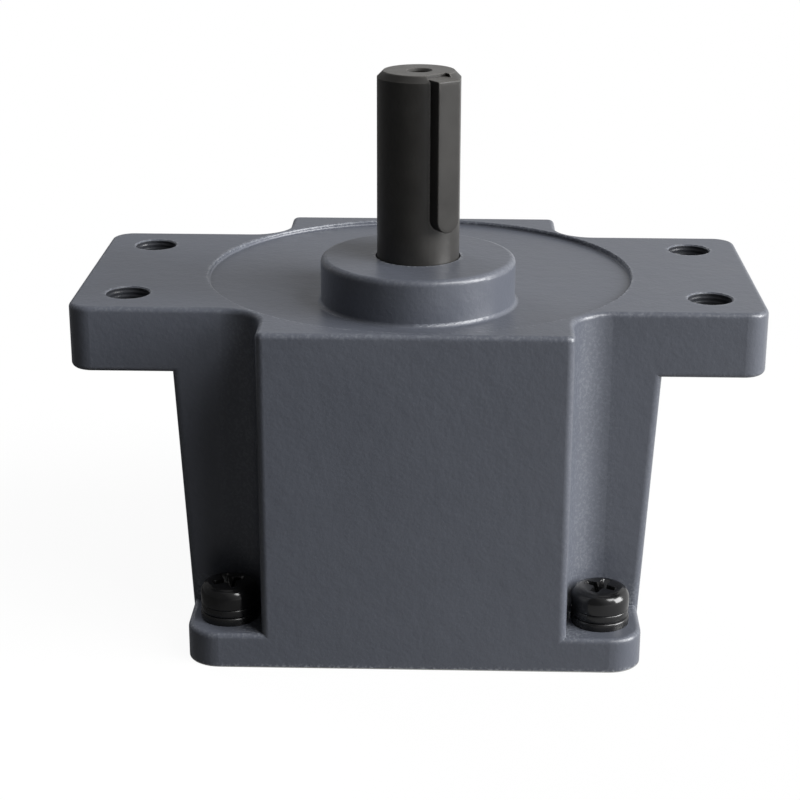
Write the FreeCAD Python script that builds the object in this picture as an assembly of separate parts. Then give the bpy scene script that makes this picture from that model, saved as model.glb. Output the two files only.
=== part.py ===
import FreeCAD, Part
import math
import os
from collections import namedtuple

# Parallel-shaft gear reducer: a cast case with mounting wings, three spur gear stages and a keyed output
# shaft set off to one side of the motor axis. Millimetres and degrees. The origin is on the motor axis at
# the underside of the case, +Z runs up along the output shaft, which is set off towards -Y.

# Gear train: involute teeth, the first gear is driven by the pinion on the motor's own shaft
PRESSURE_ANGLE = 20.0
DEDENDUM_RATIO = 1.25
FIRST_MODULE = 0.6
MOTOR_PINION_TEETH = 13
FIRST_GEAR_TEETH = 52
SECOND_MODULE = 0.8
FIRST_PINION_TEETH = 16
SECOND_GEAR_TEETH = 40
OUTPUT_MODULE = 1.0
SECOND_PINION_TEETH = 14
OUTPUT_GEAR_TEETH = 35
OUTPUT_SHIFT_RATIO = 0.3
TOOTH_THINNING = 0.08
FIRST_GEAR_WIDTH = 9.0
SECOND_GEAR_WIDTH = 10.0
OUTPUT_GEAR_WIDTH = 13.0
PINION_OVERLAP = 0.5

# Gear bodies: a recess turned into each side leaves a hub and a rim
HUB_WALL = 4.5
RIM_WALL = 2.5
WEB_RECESS = 1.5

# Shaft layout: the output axis stands in front of the motor axis, the second shaft beside both
OUTPUT_OFFSET = 18.0
SECOND_SHAFT_ANGLE = 47.3

# Heights of the gear stack, from the underside up
FLANGE_PLATE = 4.0
SPIGOT_HEIGHT = 7.0
FLOOR_GAP = 2.0
STAGE_GAP = 2.0
OUTPUT_STAGE_GAP = 4.0
HEADROOM = 6.0
TOP_WALL = 11.0

# Shafts
OUTPUT_SHAFT_DIA = 16.0
OUTPUT_TAIL_DIA = 10.0
SECOND_JOURNAL_DIA = 8.0
FIRST_JOURNAL_DIA = 6.0
SHOULDER_STEP = 1.0
GEAR_SEAT_STEP = 1.5
OUTPUT_SEAT_STEP = 1.0
OUTPUT_COLLAR_STEP = 1.8
NECK_STEP = 0.3
PASSING_GAP = 0.6
SHAFT_PROJECTION = 36.0
SHAFT_END_CHAMFER = 1.2
CENTRE_HOLE_DIA = 4.2
CENTRE_HOLE_DEPTH = 12.0
CENTRE_COUNTERSINK = 0.45

# Ball bearings: the section is the radial height from bore to outside
OUTPUT_UPPER_SECTION = 6.0
OUTPUT_LOWER_SECTION = 4.5
SECOND_BEARING_SECTION = 4.0
FIRST_BEARING_SECTION = 4.5
OUTPUT_UPPER_WIDTH = 7.0
SMALL_BEARING_WIDTH = 5.0
BEARING_WALL = 1.5
BALL_RATIO = 0.6
BALL_SPACING_RATIO = 1.45
RING_SHOULDER_RATIO = 0.3
RING_CHAMFER = 0.25
CAGE_WALL = 0.8
CAGE_SIDE = 0.8
SEAT_RELIEF = 0.6

# Keys: round-ended bars, square in section, sunk into the shaft by a share of their height
SHAFT_KEY_WIDTH = 5.0
SHAFT_KEY_FOOT = 6.5
SHAFT_KEY_ANGLE = -55.0
OUTPUT_KEY_WIDTH = 5.0
OUTPUT_KEY_ANGLE = 90.0
SECOND_KEY_WIDTH = 4.0
SECOND_KEY_ANGLE = 0.0
FIRST_KEY_WIDTH = 3.0
FIRST_KEY_ANGLE = 90.0
KEY_SINK_RATIO = 0.56
KEY_END_GAP = 1.0

# Circlips that hold the gears up against their shoulders
CIRCLIP_THICK = 1.0
CIRCLIP_WIDTH = 1.8
CIRCLIP_GROOVE = 0.3
CIRCLIP_MOUTH_ANGLE = 50.0
CIRCLIP_LUG = 1.5
CIRCLIP_EYE = 0.6
GROOVE_SLACK = 0.05

# Cast case
GEAR_CLEARANCE = 2.8
FRONT_WALL = 6.0
SIDE_WALL = 5.8
SIDE_DRAFT_ANGLE = 3.0
BLOCK_WIDTH = 59.0
ARM_DEPTH = 58.0
WING_REACH = 20.2
WING_THICK = 13.0
WING_CORNER = 4.5
INNER_FILLET = 8.0
BLOCK_CORNER = 1.5
EDGE_ROUND = 1.0
EDGE_ROUND_RATIO = 0.8
BASE_RIM_RATIO = 0.75
LUG_FLOOR = 3.0
LUG_CORNER = 6.5
CHAMBER_ROUND = 3.0
RECESS_RIM = 2.0
RECESS_DEPTH = 1.0
RECESS_FILLET = 0.4
RECESS_EDGE_ROUND = 0.4
WING_HOLE_DIA = 8.5
WING_HOLE_INSET = 10.5
WING_HOLE_PITCH = 37.0
HOLE_EDGE_BREAK = 0.3

# Shaft boss with the oil seal under its lip
BOSS_HEIGHT = 8.0
BOSS_WALL = 6.0
BOSS_ROUND = 1.2
BOSS_FILLET = 0.8
BOSS_LIP = 2.0
BOSS_LIP_GAP = 0.3
SEAL_SHOULDER = 1.0
SEAL_WIDTH = 6.0
SEAL_DISC_REACH = 2.5
SEAL_SHELL_WALL = 0.9
SEAL_LIP_WALL = 0.7
SEAL_LIP_HEIGHT = 3.0
SEAL_SPRING_WIRE = 0.9

# Input flange, let into the underside of the case
POCKET_RIM = 3.0
POCKET_FRONT_RIM = 4.0
POCKET_CORNER = 5.0
PLATE_GAP = 0.1
PINION_HOLE_DIA = 12.5
MOTOR_PILOT_DIA = 50.0
MOTOR_PILOT_DEPTH = 2.5
MOTOR_BOLT_CIRCLE = 65.0
MOTOR_BOLT_DRILL = 4.2
MOTOR_BOLT_DEPTH = 8.0
O_RING_WIRE = 1.7
O_RING_SLACK = 0.1
DOWEL_DIA = 3.0
DOWEL_INSET = 4.0
DOWEL_ANGLE = 26.0
DOWEL_DEPTH = 5.0

# Case screws with their washers, one on each corner lug
SCREW_INSET = 7.9
SCREW_DIA = 6.0
SCREW_CLEARANCE = 0.3
SCREW_TIP_GAP = 0.2
WASHER_WALL_GAP = 0.8
SCREW_HEAD_DIA = 11.3
SCREW_HEAD_HEIGHT = 4.25
SCREW_HEAD_RIM = 2.0
CROSS_WIDTH = 1.3
CROSS_SPAN = 5.6
CROSS_FOOT = 2.4
CROSS_DEPTH = 2.5
SPRING_WASHER_DIA = 11.2
SPRING_WASHER_THICK = 1.6
SPRING_WASHER_SPLIT = 0.8
SPRING_WASHER_ANGLE = 35.0
FLAT_WASHER_DIA = 11.5
FLAT_WASHER_THICK = 1.6

# Fits: radial gaps between pieces
PRESS_GAP = 0.01
SLIP_GAP = 0.02
RUNNING_GAP = 0.03
CAGE_GAP = 0.12

Vector = FreeCAD.Vector
UP = Vector(0, 0, 1)
Bearing = namedtuple("Bearing", "axis z0 bore section width")
Toothing = namedtuple("Toothing", "module teeth shift")
pieces = {}


def pitch_radius(module, teeth):
    """Return the pitch circle radius for a number of teeth."""
    return module * teeth / 2


def tip_radius(toothing):
    """Return the outside radius of a gear."""
    return pitch_radius(toothing.module, toothing.teeth) + toothing.module * (1 + toothing.shift)


def root_radius(toothing):
    """Return the radius at the foot of a gear's teeth."""
    return pitch_radius(toothing.module, toothing.teeth) - toothing.module * (DEDENDUM_RATIO - toothing.shift)


def on_circle(centre, radius, degrees):
    """Return the point at an angle from +X on a circle about a centre."""
    angle = math.radians(degrees)
    return centre + Vector(radius * math.cos(angle), radius * math.sin(angle), 0)


def direction(start, end):
    """Return the angle from +X of the line between two points, in degrees."""
    return math.degrees(math.atan2(end.y - start.y, end.x - start.x))


def meeting_point(centre, radius, other, other_radius):
    """Return the left-hand meeting point of two circles, seen from the first centre to the other."""
    span = centre.distanceToPoint(other)
    cosine = (radius**2 + span**2 - other_radius**2) / (2 * radius * span)
    return on_circle(centre, radius, direction(centre, other) + math.degrees(math.acos(cosine)))


# Teeth of each gear: the output stage shifts its small pinion's profile out and its gear's profile in
first_toothing = Toothing(FIRST_MODULE, FIRST_GEAR_TEETH, 0)
first_pinion_toothing = Toothing(SECOND_MODULE, FIRST_PINION_TEETH, 0)
second_toothing = Toothing(SECOND_MODULE, SECOND_GEAR_TEETH, 0)
second_pinion_toothing = Toothing(OUTPUT_MODULE, SECOND_PINION_TEETH, OUTPUT_SHIFT_RATIO)
output_toothing = Toothing(OUTPUT_MODULE, OUTPUT_GEAR_TEETH, -OUTPUT_SHIFT_RATIO)

# Shaft axes: each centre distance is the sum of two pitch radii
first_distance = pitch_radius(FIRST_MODULE, MOTOR_PINION_TEETH + FIRST_GEAR_TEETH)
second_distance = pitch_radius(SECOND_MODULE, FIRST_PINION_TEETH + SECOND_GEAR_TEETH)
output_distance = pitch_radius(OUTPUT_MODULE, SECOND_PINION_TEETH + OUTPUT_GEAR_TEETH)
motor_axis = Vector(0, 0, 0)
output_axis = Vector(0, -OUTPUT_OFFSET, 0)
second_axis = on_circle(output_axis, output_distance, SECOND_SHAFT_ANGLE)
first_axis = meeting_point(motor_axis, first_distance, second_axis, second_distance)

# Teeth in mesh: a pinion points a tooth along the line of centres, its gear turns a gap to meet it
first_gear_turn = direction(first_axis, motor_axis)
first_pinion_turn = direction(first_axis, second_axis)
second_gear_turn = direction(second_axis, first_axis) + 180 / SECOND_GEAR_TEETH
second_pinion_turn = direction(second_axis, output_axis)
output_gear_turn = direction(output_axis, second_axis) + 180 / OUTPUT_GEAR_TEETH

# Levels of the gear stack and of the case
floor_z = FLANGE_PLATE + SPIGOT_HEIGHT
lower_seat_z = floor_z - SMALL_BEARING_WIDTH
first_gear_z = floor_z + FLOOR_GAP
first_gear_top = first_gear_z + FIRST_GEAR_WIDTH
second_gear_z = first_gear_top + STAGE_GAP
second_gear_top = second_gear_z + SECOND_GEAR_WIDTH
output_gear_z = second_gear_top + OUTPUT_STAGE_GAP
output_gear_top = output_gear_z + OUTPUT_GEAR_WIDTH
ceiling_z = output_gear_top + HEADROOM
case_top = ceiling_z + TOP_WALL
boss_top = case_top + BOSS_HEIGHT
shaft_end = boss_top + SHAFT_PROJECTION
wing_z = case_top - WING_THICK
lug_top = FLANGE_PLATE + LUG_FLOOR
recess_floor = case_top - RECESS_DEPTH

# Radii of the gear seats on the three shafts
first_seat = FIRST_JOURNAL_DIA / 2 + GEAR_SEAT_STEP
second_seat = SECOND_JOURNAL_DIA / 2 + GEAR_SEAT_STEP
output_seat = OUTPUT_SHAFT_DIA / 2 + OUTPUT_SEAT_STEP

# Necks: where the gear of the stage before passes close by, a shaft is turned down to let it through
output_middle = OUTPUT_TAIL_DIA / 2 + SHOULDER_STEP
second_room = second_distance - tip_radius(first_toothing) - PASSING_GAP
output_room = output_distance - tip_radius(second_toothing) - PASSING_GAP
second_neck = min(second_seat - NECK_STEP, second_room)
output_neck = min(output_middle - NECK_STEP, output_room)

# Sizes round the output shaft: bearing, seal and boss stand one outside the other
shaft_radius = OUTPUT_SHAFT_DIA / 2
upper_bearing_radius = shaft_radius + OUTPUT_UPPER_SECTION
seal_radius = upper_bearing_radius - SEAL_SHOULDER
boss_radius = seal_radius + BOSS_WALL
seal_top = boss_top - BOSS_LIP

# The second shaft's bearings leave a wall between themselves and the output shaft's
second_bearing_room = output_distance - upper_bearing_radius - SECOND_JOURNAL_DIA / 2 - BEARING_WALL
second_section = min(SECOND_BEARING_SECTION, second_bearing_room)

# Outside of the case: the chamber clears the widest reach of the gears and the walls go round it. The
# screws stand in the corners between block and arms, where their washers clear the fillets, and the base is
# wide enough for both the chamber and the screws
gear_reach = max(
    first_axis.Length + tip_radius(first_toothing),
    second_axis.Length + tip_radius(second_toothing),
    output_axis.Length + tip_radius(output_toothing),
)
chamber_radius = gear_reach + GEAR_CLEARANCE
block_half = BLOCK_WIDTH / 2
arm_half = ARM_DEPTH / 2
corner_room = INNER_FILLET - (INNER_FILLET - FLAT_WASHER_DIA / 2 - WASHER_WALL_GAP) * math.sqrt(0.5)
screw_x = block_half + corner_room
screw_y = arm_half + corner_room
base_half = max(chamber_radius + FRONT_WALL, screw_y + SCREW_INSET)
base_side = max(chamber_radius + BASE_RIM_RATIO * SIDE_WALL, screw_x + SCREW_INSET)
draft_slope = math.tan(math.radians(SIDE_DRAFT_ANGLE))
side_foot = chamber_radius + SIDE_WALL
wing_half = side_foot + (wing_z - lug_top) * draft_slope + WING_REACH
recess_radius = base_half - RECESS_RIM
pocket_half = base_half - POCKET_FRONT_RIM
pocket_side = base_side - POCKET_RIM

bearings = {
    "output_upper": Bearing(
        output_axis, ceiling_z, OUTPUT_SHAFT_DIA, OUTPUT_UPPER_SECTION, OUTPUT_UPPER_WIDTH
    ),
    "output_lower": Bearing(
        output_axis, lower_seat_z, OUTPUT_TAIL_DIA, OUTPUT_LOWER_SECTION, SMALL_BEARING_WIDTH
    ),
}
for level_name, level in (("upper", ceiling_z), ("lower", lower_seat_z)):
    bearings["second_" + level_name] = Bearing(
        second_axis, level, SECOND_JOURNAL_DIA, second_section, SMALL_BEARING_WIDTH
    )
    bearings["first_" + level_name] = Bearing(
        first_axis, level, FIRST_JOURNAL_DIA, FIRST_BEARING_SECTION, SMALL_BEARING_WIDTH
    )


def cylinder(radius, z0, z1, centre=motor_axis):
    """Return an upright cylinder between two levels."""
    return Part.makeCylinder(radius, z1 - z0, Vector(centre.x, centre.y, z0))


def tube(outer, inner, z0, z1, centre=motor_axis):
    """Return an upright tube between two levels."""
    return cylinder(outer, z0, z1, centre).cut(cylinder(inner, z0, z1, centre))


def turned(points, centre=motor_axis):
    """Return the solid turned about an upright axis from a closed outline of (radius, height) points.

    A point of four numbers is an arc: its middle's radius and height, then its end's.
    """
    edges = []
    last = Vector(points[0][0], 0, points[0][1])
    for point in points[1:] + points[:1]:
        end = Vector(point[-2], 0, point[-1])
        if len(point) == 4:
            edges.append(Part.Arc(last, Vector(point[0], 0, point[1]), end).toShape())
        else:
            edges.append(Part.makeLine(last, end))
        last = end
    solid = Part.Face(Part.Wire(edges)).revolve(motor_axis, UP, 360)
    return solid.translated(Vector(centre.x, centre.y, 0))


def quarter_round(corner, fillet, inwards, upwards, end):
    """Return the arc point of a quarter round from the corner it cuts, its centre's side and its end."""
    share = fillet * (1 - math.sqrt(0.5))
    return (corner[0] + inwards * share, corner[1] + upwards * share) + end


def rounded_outline(corners, z):
    """Return the closed wire through (x, y, radius) corners at a level, each corner rounded by an arc."""
    points = [Vector(x, y, z) for x, y, radius in corners]
    count = len(points)
    arcs = []
    for index, point in enumerate(points):
        radius = corners[index][2]
        before = (points[index - 1] - point).normalize()
        after = (points[(index + 1) % count] - point).normalize()
        half_angle = before.getAngle(after) / 2
        setback = radius / math.tan(half_angle)
        middle = point + (before + after).normalize() * (radius / math.sin(half_angle) - radius)
        arcs.append(Part.Arc(point + before * setback, middle, point + after * setback))
    edges = []
    for index, arc in enumerate(arcs):
        edges.append(arc.toShape())
        edges.append(Part.makeLine(arc.EndPoint, arcs[(index + 1) % count].StartPoint))
    return Part.Wire(edges)


def prism(outline, height):
    """Return the solid raised from a closed wire."""
    return Part.Face(outline).extrude(UP * height)


def plate(half_x, half_y, radius, z0, z1):
    """Return a rectangular plate about the motor axis with rounded corners."""
    corners = [(half_x, -half_y, radius), (half_x, half_y, radius)]
    corners += [(-half_x, half_y, radius), (-half_x, -half_y, radius)]
    return prism(rounded_outline(corners, z0), z1 - z0)


def edges_at(solid, z):
    """Return the edges of a solid that lie in one level plane."""
    return [edge for edge in solid.Edges if abs(edge.BoundBox.ZMin - z) + abs(edge.BoundBox.ZMax - z) < 1e-6]


def four_places(half_x, half_y):
    """Return the four corners of a rectangle about the motor axis."""
    return [Vector(x, y, 0) for x in (-half_x, half_x) for y in (-half_y, half_y)]


def dowel_places():
    """Return the places of the two dowels, across the case from each other."""
    radius = chamber_radius + DOWEL_INSET
    return [on_circle(motor_axis, radius, DOWEL_ANGLE), on_circle(motor_axis, radius, DOWEL_ANGLE + 180)]


def through_hole(radius, z0, z1, centre):
    """Return the tool for a drilled hole between two levels, with both rims broken."""
    rim = radius + HOLE_EDGE_BREAK
    low = z0 + HOLE_EDGE_BREAK
    high = z1 - HOLE_EDGE_BREAK
    return turned([(0, z0), (rim, z0), (radius, low), (radius, high), (rim, z1), (0, z1)], centre)


def bearing_seat(bearing, relief_side):
    """Return the tool for a bearing's seat, with a relief above (1) or below (-1) the turning parts."""
    radius = bearing.bore / 2 + bearing.section
    relief_radius = bearing.bore / 2 + bearing.section * (1 + BALL_RATIO) / 2
    z1 = bearing.z0 + bearing.width
    relief_z = (bearing.z0, bearing.z0 - SEAT_RELIEF) if relief_side < 0 else (z1 + SEAT_RELIEF, z1)
    seat = cylinder(radius, bearing.z0, z1, bearing.axis)
    return seat.fuse(cylinder(relief_radius, min(relief_z), max(relief_z), bearing.axis))


def make_bearing(name, bearing):
    """Make the two rings, the balls and the cage of one deep-groove ball bearing."""
    inner = bearing.bore / 2 + PRESS_GAP
    outer = bearing.bore / 2 + bearing.section - PRESS_GAP
    pitch = (inner + outer) / 2
    ball = BALL_RATIO * bearing.section / 2
    groove = ball + RUNNING_GAP
    shoulder = 2 * ball * RING_SHOULDER_RATIO
    half_groove = math.sqrt(groove**2 - shoulder**2)
    z0 = bearing.z0
    z1 = z0 + bearing.width
    middle = (z0 + z1) / 2
    for ring_name, back, side in (("_inner_ring", inner, 1), ("_outer_ring", outer, -1)):
        face = pitch - side * shoulder
        chamfered = back + side * RING_CHAMFER
        pieces[name + ring_name] = turned(
            [
                (back, z0 + RING_CHAMFER),
                (chamfered, z0),
                (face, z0),
                (face, middle - half_groove),
                (pitch - side * groove, middle, face, middle + half_groove),
                (face, z1),
                (chamfered, z1),
                (back, z1 - RING_CHAMFER),
            ],
            bearing.axis,
        )
    count = int(2 * math.pi * pitch / (2 * ball * BALL_SPACING_RATIO))
    turns = [360 * (index + 0.5) / count for index in range(count)]
    centre = bearing.axis + UP * middle
    balls = [Part.makeSphere(ball, on_circle(centre, pitch, turn)) for turn in turns]
    pieces[name + "_balls"] = Part.makeCompound(balls)
    cage_half = min(ball + CAGE_SIDE, bearing.width / 2 - RING_CHAMFER)
    cage_wall = min(CAGE_WALL, shoulder)
    cage = tube(
        pitch + cage_wall / 2, pitch - cage_wall / 2, middle - cage_half, middle + cage_half, bearing.axis
    )
    pockets = [
        Part.makeCylinder(ball + CAGE_GAP, pitch + cage_wall, centre, on_circle(motor_axis, 1, turn))
        for turn in turns
    ]
    pieces[name + "_cage"] = cage.cut(pockets)


def case_casting():
    """Return the case as cast: a head with wings, a tapering body, a square base with lugs, and a boss."""
    edge_round = min(EDGE_ROUND, EDGE_ROUND_RATIO * BLOCK_CORNER)
    right = [
        (block_half, -base_half, BLOCK_CORNER),
        (block_half, -arm_half, INNER_FILLET),
        (wing_half, -arm_half, WING_CORNER),
        (wing_half, arm_half, WING_CORNER),
        (block_half, arm_half, INNER_FILLET),
        (block_half, base_half, BLOCK_CORNER),
    ]
    left = [(-x, y, radius) for x, y, radius in reversed(right)]
    head = prism(rounded_outline(right + left, wing_z), WING_THICK)
    head = head.makeFillet(edge_round, edges_at(head, wing_z) + edges_at(head, case_top))

    body_top = wing_z + WING_THICK / 2
    side_low = side_foot - lug_top * draft_slope
    side_high = side_foot + (body_top - lug_top) * draft_slope
    taper = [(-side_low, 0), (side_low, 0), (side_high, body_top), (-side_high, body_top), (-side_low, 0)]
    side_outline = Part.makePolygon([Vector(x, -arm_half, z) for x, z in taper])
    side = Part.Face(side_outline).extrude(Vector(0, ARM_DEPTH, 0))
    side = side.makeFillet(BLOCK_CORNER, [edge for edge in side.Edges if edge.BoundBox.ZLength > lug_top])
    body = plate(block_half, base_half, BLOCK_CORNER, 0, body_top).fuse(side).removeSplitter()
    inner_corners = [
        edge
        for edge in body.Edges
        if edge.BoundBox.ZLength > lug_top
        and abs(abs(edge.CenterOfMass.x) - block_half) < 1e-3
        and abs(abs(edge.CenterOfMass.y) - arm_half) < 1e-3
    ]
    body = body.makeFillet(INNER_FILLET, inner_corners)

    base = plate(base_side, base_half, LUG_CORNER, 0, lug_top)
    base = base.makeFillet(edge_round, edges_at(base, lug_top))

    wall_foot = (recess_radius, recess_floor + RECESS_FILLET)
    wall_rim = (recess_radius + RECESS_EDGE_ROUND, case_top)
    recess = turned(
        [
            (0, recess_floor),
            (recess_radius - RECESS_FILLET, recess_floor),
            quarter_round((recess_radius, recess_floor), RECESS_FILLET, -1, 1, wall_foot),
            (recess_radius, case_top - RECESS_EDGE_ROUND),
            quarter_round((recess_radius, case_top), RECESS_EDGE_ROUND, 1, -1, wall_rim),
            (0, case_top),
        ]
    )
    boss_foot = (boss_radius, recess_floor + BOSS_FILLET)
    boss_rim = (boss_radius - BOSS_ROUND, boss_top)
    boss = turned(
        [
            (0, ceiling_z),
            (boss_radius + BOSS_FILLET, ceiling_z),
            (boss_radius + BOSS_FILLET, recess_floor),
            quarter_round((boss_radius, recess_floor), BOSS_FILLET, 1, 1, boss_foot),
            (boss_radius, boss_top - BOSS_ROUND),
            quarter_round((boss_radius, boss_top), BOSS_ROUND, -1, -1, boss_rim),
            (0, boss_top),
        ],
        output_axis,
    )
    return head.fuse([body, base]).removeSplitter().cut(recess).fuse(boss).removeSplitter()


def make_case():
    """Make the case: the casting with its chamber, flange pocket, bearing seats and holes machined."""
    chamber_corner = (chamber_radius - CHAMBER_ROUND, ceiling_z)
    chamber = turned(
        [
            (0, FLANGE_PLATE),
            (chamber_radius, FLANGE_PLATE),
            (chamber_radius, ceiling_z - CHAMBER_ROUND),
            quarter_round((chamber_radius, ceiling_z), CHAMBER_ROUND, -1, -1, chamber_corner),
            (0, ceiling_z),
        ]
    )
    tools = [chamber, plate(pocket_side, pocket_half, POCKET_CORNER, 0, FLANGE_PLATE)]
    tools.append(bearing_seat(bearings["first_upper"], 1))
    tools.append(bearing_seat(bearings["second_upper"], 1))
    tools.append(cylinder(upper_bearing_radius, ceiling_z, ceiling_z + OUTPUT_UPPER_WIDTH, output_axis))
    tools.append(cylinder(seal_radius, ceiling_z, seal_top, output_axis))
    tools.append(cylinder(shaft_radius + BOSS_LIP_GAP, ceiling_z, boss_top, output_axis))
    for place in four_places(wing_half - WING_HOLE_INSET, WING_HOLE_PITCH / 2):
        tools.append(through_hole(WING_HOLE_DIA / 2, wing_z, case_top, place))
    for place in four_places(screw_x, screw_y):
        tools.append(cylinder(SCREW_DIA / 2 + SCREW_CLEARANCE, FLANGE_PLATE, lug_top, place))
    for place in dowel_places():
        tools.append(cylinder(DOWEL_DIA / 2, FLANGE_PLATE, FLANGE_PLATE + DOWEL_DEPTH, place))
    pieces["gear_case"] = case_casting().cut(tools)


def make_flange():
    """Make the input flange, with the seal ring round its spigot and the dowels that place it."""
    flange = plate(
        pocket_side - PLATE_GAP, pocket_half - PLATE_GAP, POCKET_CORNER - PLATE_GAP, 0, FLANGE_PLATE
    )
    flange = flange.fuse(cylinder(chamber_radius - SLIP_GAP, 0, floor_z))
    ring_middle = FLANGE_PLATE + SPIGOT_HEIGHT / 2
    half_groove = O_RING_WIRE / 2 + O_RING_SLACK
    groove_floor = chamber_radius - O_RING_WIRE - O_RING_SLACK
    tools = [tube(chamber_radius, groove_floor, ring_middle - half_groove, ring_middle + half_groove)]
    for name in ("output_lower", "second_lower", "first_lower"):
        tools.append(bearing_seat(bearings[name], -1))
    tools.append(cylinder(PINION_HOLE_DIA / 2, 0, floor_z))
    tools.append(cylinder(MOTOR_PILOT_DIA / 2, 0, MOTOR_PILOT_DEPTH))
    bolt_place = MOTOR_BOLT_CIRCLE / 2 * math.sqrt(0.5)
    for place in four_places(bolt_place, bolt_place):
        tools.append(cylinder(MOTOR_BOLT_DRILL / 2, 0, MOTOR_BOLT_DEPTH, place))
    for place in four_places(screw_x, screw_y):
        tools.append(cylinder(SCREW_DIA / 2, 0, FLANGE_PLATE, place))
    for place in dowel_places():
        tools.append(cylinder(DOWEL_DIA / 2, 0, FLANGE_PLATE, place))
    pieces["input_flange"] = flange.cut(tools)

    ring_radius = chamber_radius - (O_RING_WIRE + O_RING_SLACK) / 2
    pieces["flange_o_ring"] = Part.makeTorus(ring_radius, O_RING_WIRE / 2, UP * ring_middle)
    dowel_foot = RING_CHAMFER
    dowel_top = FLANGE_PLATE + DOWEL_DEPTH - RING_CHAMFER
    dowel = cylinder(DOWEL_DIA / 2 - PRESS_GAP, dowel_foot, dowel_top)
    dowel = dowel.makeChamfer(RING_CHAMFER, edges_at(dowel, dowel_foot) + edges_at(dowel, dowel_top))
    pieces["dowel_pins"] = Part.makeCompound([dowel.translated(place) for place in dowel_places()])


def make_screws():
    """Make the four case screws with a flat washer and a spring washer under each head."""
    flat_top = lug_top + FLAT_WASHER_THICK
    head_z = flat_top + SPRING_WASHER_THICK
    head_top = head_z + SCREW_HEAD_HEIGHT
    head_radius = SCREW_HEAD_DIA / 2
    shank = SCREW_DIA / 2 - SLIP_GAP
    dome = SCREW_HEAD_HEIGHT - SCREW_HEAD_RIM
    screw = turned(
        [
            (0, SCREW_TIP_GAP),
            (shank - RING_CHAMFER, SCREW_TIP_GAP),
            (shank, SCREW_TIP_GAP + RING_CHAMFER),
            (shank, head_z),
            (head_radius, head_z),
            (head_radius, head_z + SCREW_HEAD_RIM),
            quarter_round((head_radius, head_top), dome, -1, -1, (head_radius - dome, head_top)),
            (0, head_top),
        ]
    )
    cross_foot = head_top - CROSS_DEPTH
    slot = [(-CROSS_SPAN / 2, head_top), (CROSS_SPAN / 2, head_top)]
    slot += [(CROSS_FOOT / 2, cross_foot), (-CROSS_FOOT / 2, cross_foot), (-CROSS_SPAN / 2, head_top)]
    slot_outline = Part.makePolygon([Vector(x, -CROSS_WIDTH / 2, z) for x, z in slot])
    slot_tool = Part.Face(slot_outline).extrude(Vector(0, CROSS_WIDTH, 0))
    other_slot = slot_tool.rotated(motor_axis, UP, 90)
    core = Part.makeCone(CROSS_WIDTH / 2, CROSS_WIDTH, CROSS_DEPTH, UP * cross_foot)
    screw = screw.cut([slot_tool, other_slot, core])

    washer_bore = SCREW_DIA / 2 + SCREW_CLEARANCE
    split_reach = 2 * SPRING_WASHER_THICK
    split_middle = UP * (flat_top + SPRING_WASHER_THICK / 2)
    split_corner = split_middle + Vector(0, -SPRING_WASHER_SPLIT / 2, -split_reach)
    split = Part.makeBox(SPRING_WASHER_DIA, SPRING_WASHER_SPLIT, 2 * split_reach, split_corner)
    split.rotate(split_middle, Vector(1, 0, 0), SPRING_WASHER_ANGLE)
    spring = tube(SPRING_WASHER_DIA / 2, washer_bore, flat_top, head_z).cut(split)
    flat = tube(FLAT_WASHER_DIA / 2, washer_bore, lug_top, flat_top)
    outer_edge = max(edges_at(flat, flat_top), key=lambda edge: edge.Length)
    flat = flat.makeChamfer(RING_CHAMFER, [outer_edge])
    for name, shape in (("case_screws", screw), ("spring_washers", spring), ("flat_washers", flat)):
        places = four_places(screw_x, screw_y)
        pieces[name] = Part.makeCompound([shape.translated(place) for place in places])


def make_seal():
    """Make the oil seal: a steel shell pressed into the boss, a rubber lip on the shaft and its spring."""
    top = seal_top - SLIP_GAP
    outer = seal_radius - PRESS_GAP
    shell_inner = outer - SEAL_SHELL_WALL
    disc_inner = outer - SEAL_DISC_REACH
    disc_z = top - SEAL_SHELL_WALL
    foot = top - SEAL_WIDTH
    pieces["seal_shell"] = turned(
        [
            (disc_inner, top),
            (outer, top),
            (outer, foot),
            (shell_inner, foot),
            (shell_inner, disc_z),
            (disc_inner, disc_z),
        ],
        output_axis,
    )
    wire = SEAL_SPRING_WIRE / 2
    lip_edge = shaft_radius + SLIP_GAP
    lip_neck = lip_edge + SEAL_LIP_WALL / 2
    lip_back = lip_edge + SEAL_LIP_WALL
    lip_z = disc_z - SEAL_LIP_HEIGHT
    shoulder_z = disc_z - SEAL_SHELL_WALL
    pieces["seal_lip"] = turned(
        [
            (disc_inner - SLIP_GAP, top),
            (disc_inner - SLIP_GAP, disc_z),
            (lip_back + SEAL_LIP_WALL, shoulder_z),
            (lip_back, lip_z + SEAL_SPRING_WIRE),
            (lip_back, lip_z),
            (lip_edge, lip_z + wire),
            (lip_neck, shoulder_z),
            (lip_neck, top),
        ],
        output_axis,
    )
    spring_radius = lip_back + SLIP_GAP + wire
    pieces["seal_spring"] = Part.makeTorus(spring_radius, wire, output_axis + UP * (lip_z + wire))


def key_bar(axis, turn, width, inner, outer, z0, z1, round_top):
    """Return an upright bar between two radii, its lower end round and its top round or flat."""
    half = width / 2
    low_left = Vector(inner, -half, z0 + half)
    low_right = Vector(inner, half, z0 + half)
    top_z = z1 - half if round_top else z1
    high_left = Vector(inner, -half, top_z)
    high_right = Vector(inner, half, top_z)
    edges = [Part.Arc(low_left, Vector(inner, 0, z0), low_right).toShape()]
    edges.append(Part.makeLine(low_right, high_right))
    if round_top:
        edges.append(Part.Arc(high_right, Vector(inner, 0, z1), high_left).toShape())
    else:
        edges.append(Part.makeLine(high_right, high_left))
    edges.append(Part.makeLine(high_left, low_left))
    bar = Part.Face(Part.Wire(edges)).extrude(Vector(outer - inner, 0, 0))
    return bar.rotated(motor_axis, UP, turn).translated(axis)


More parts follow.
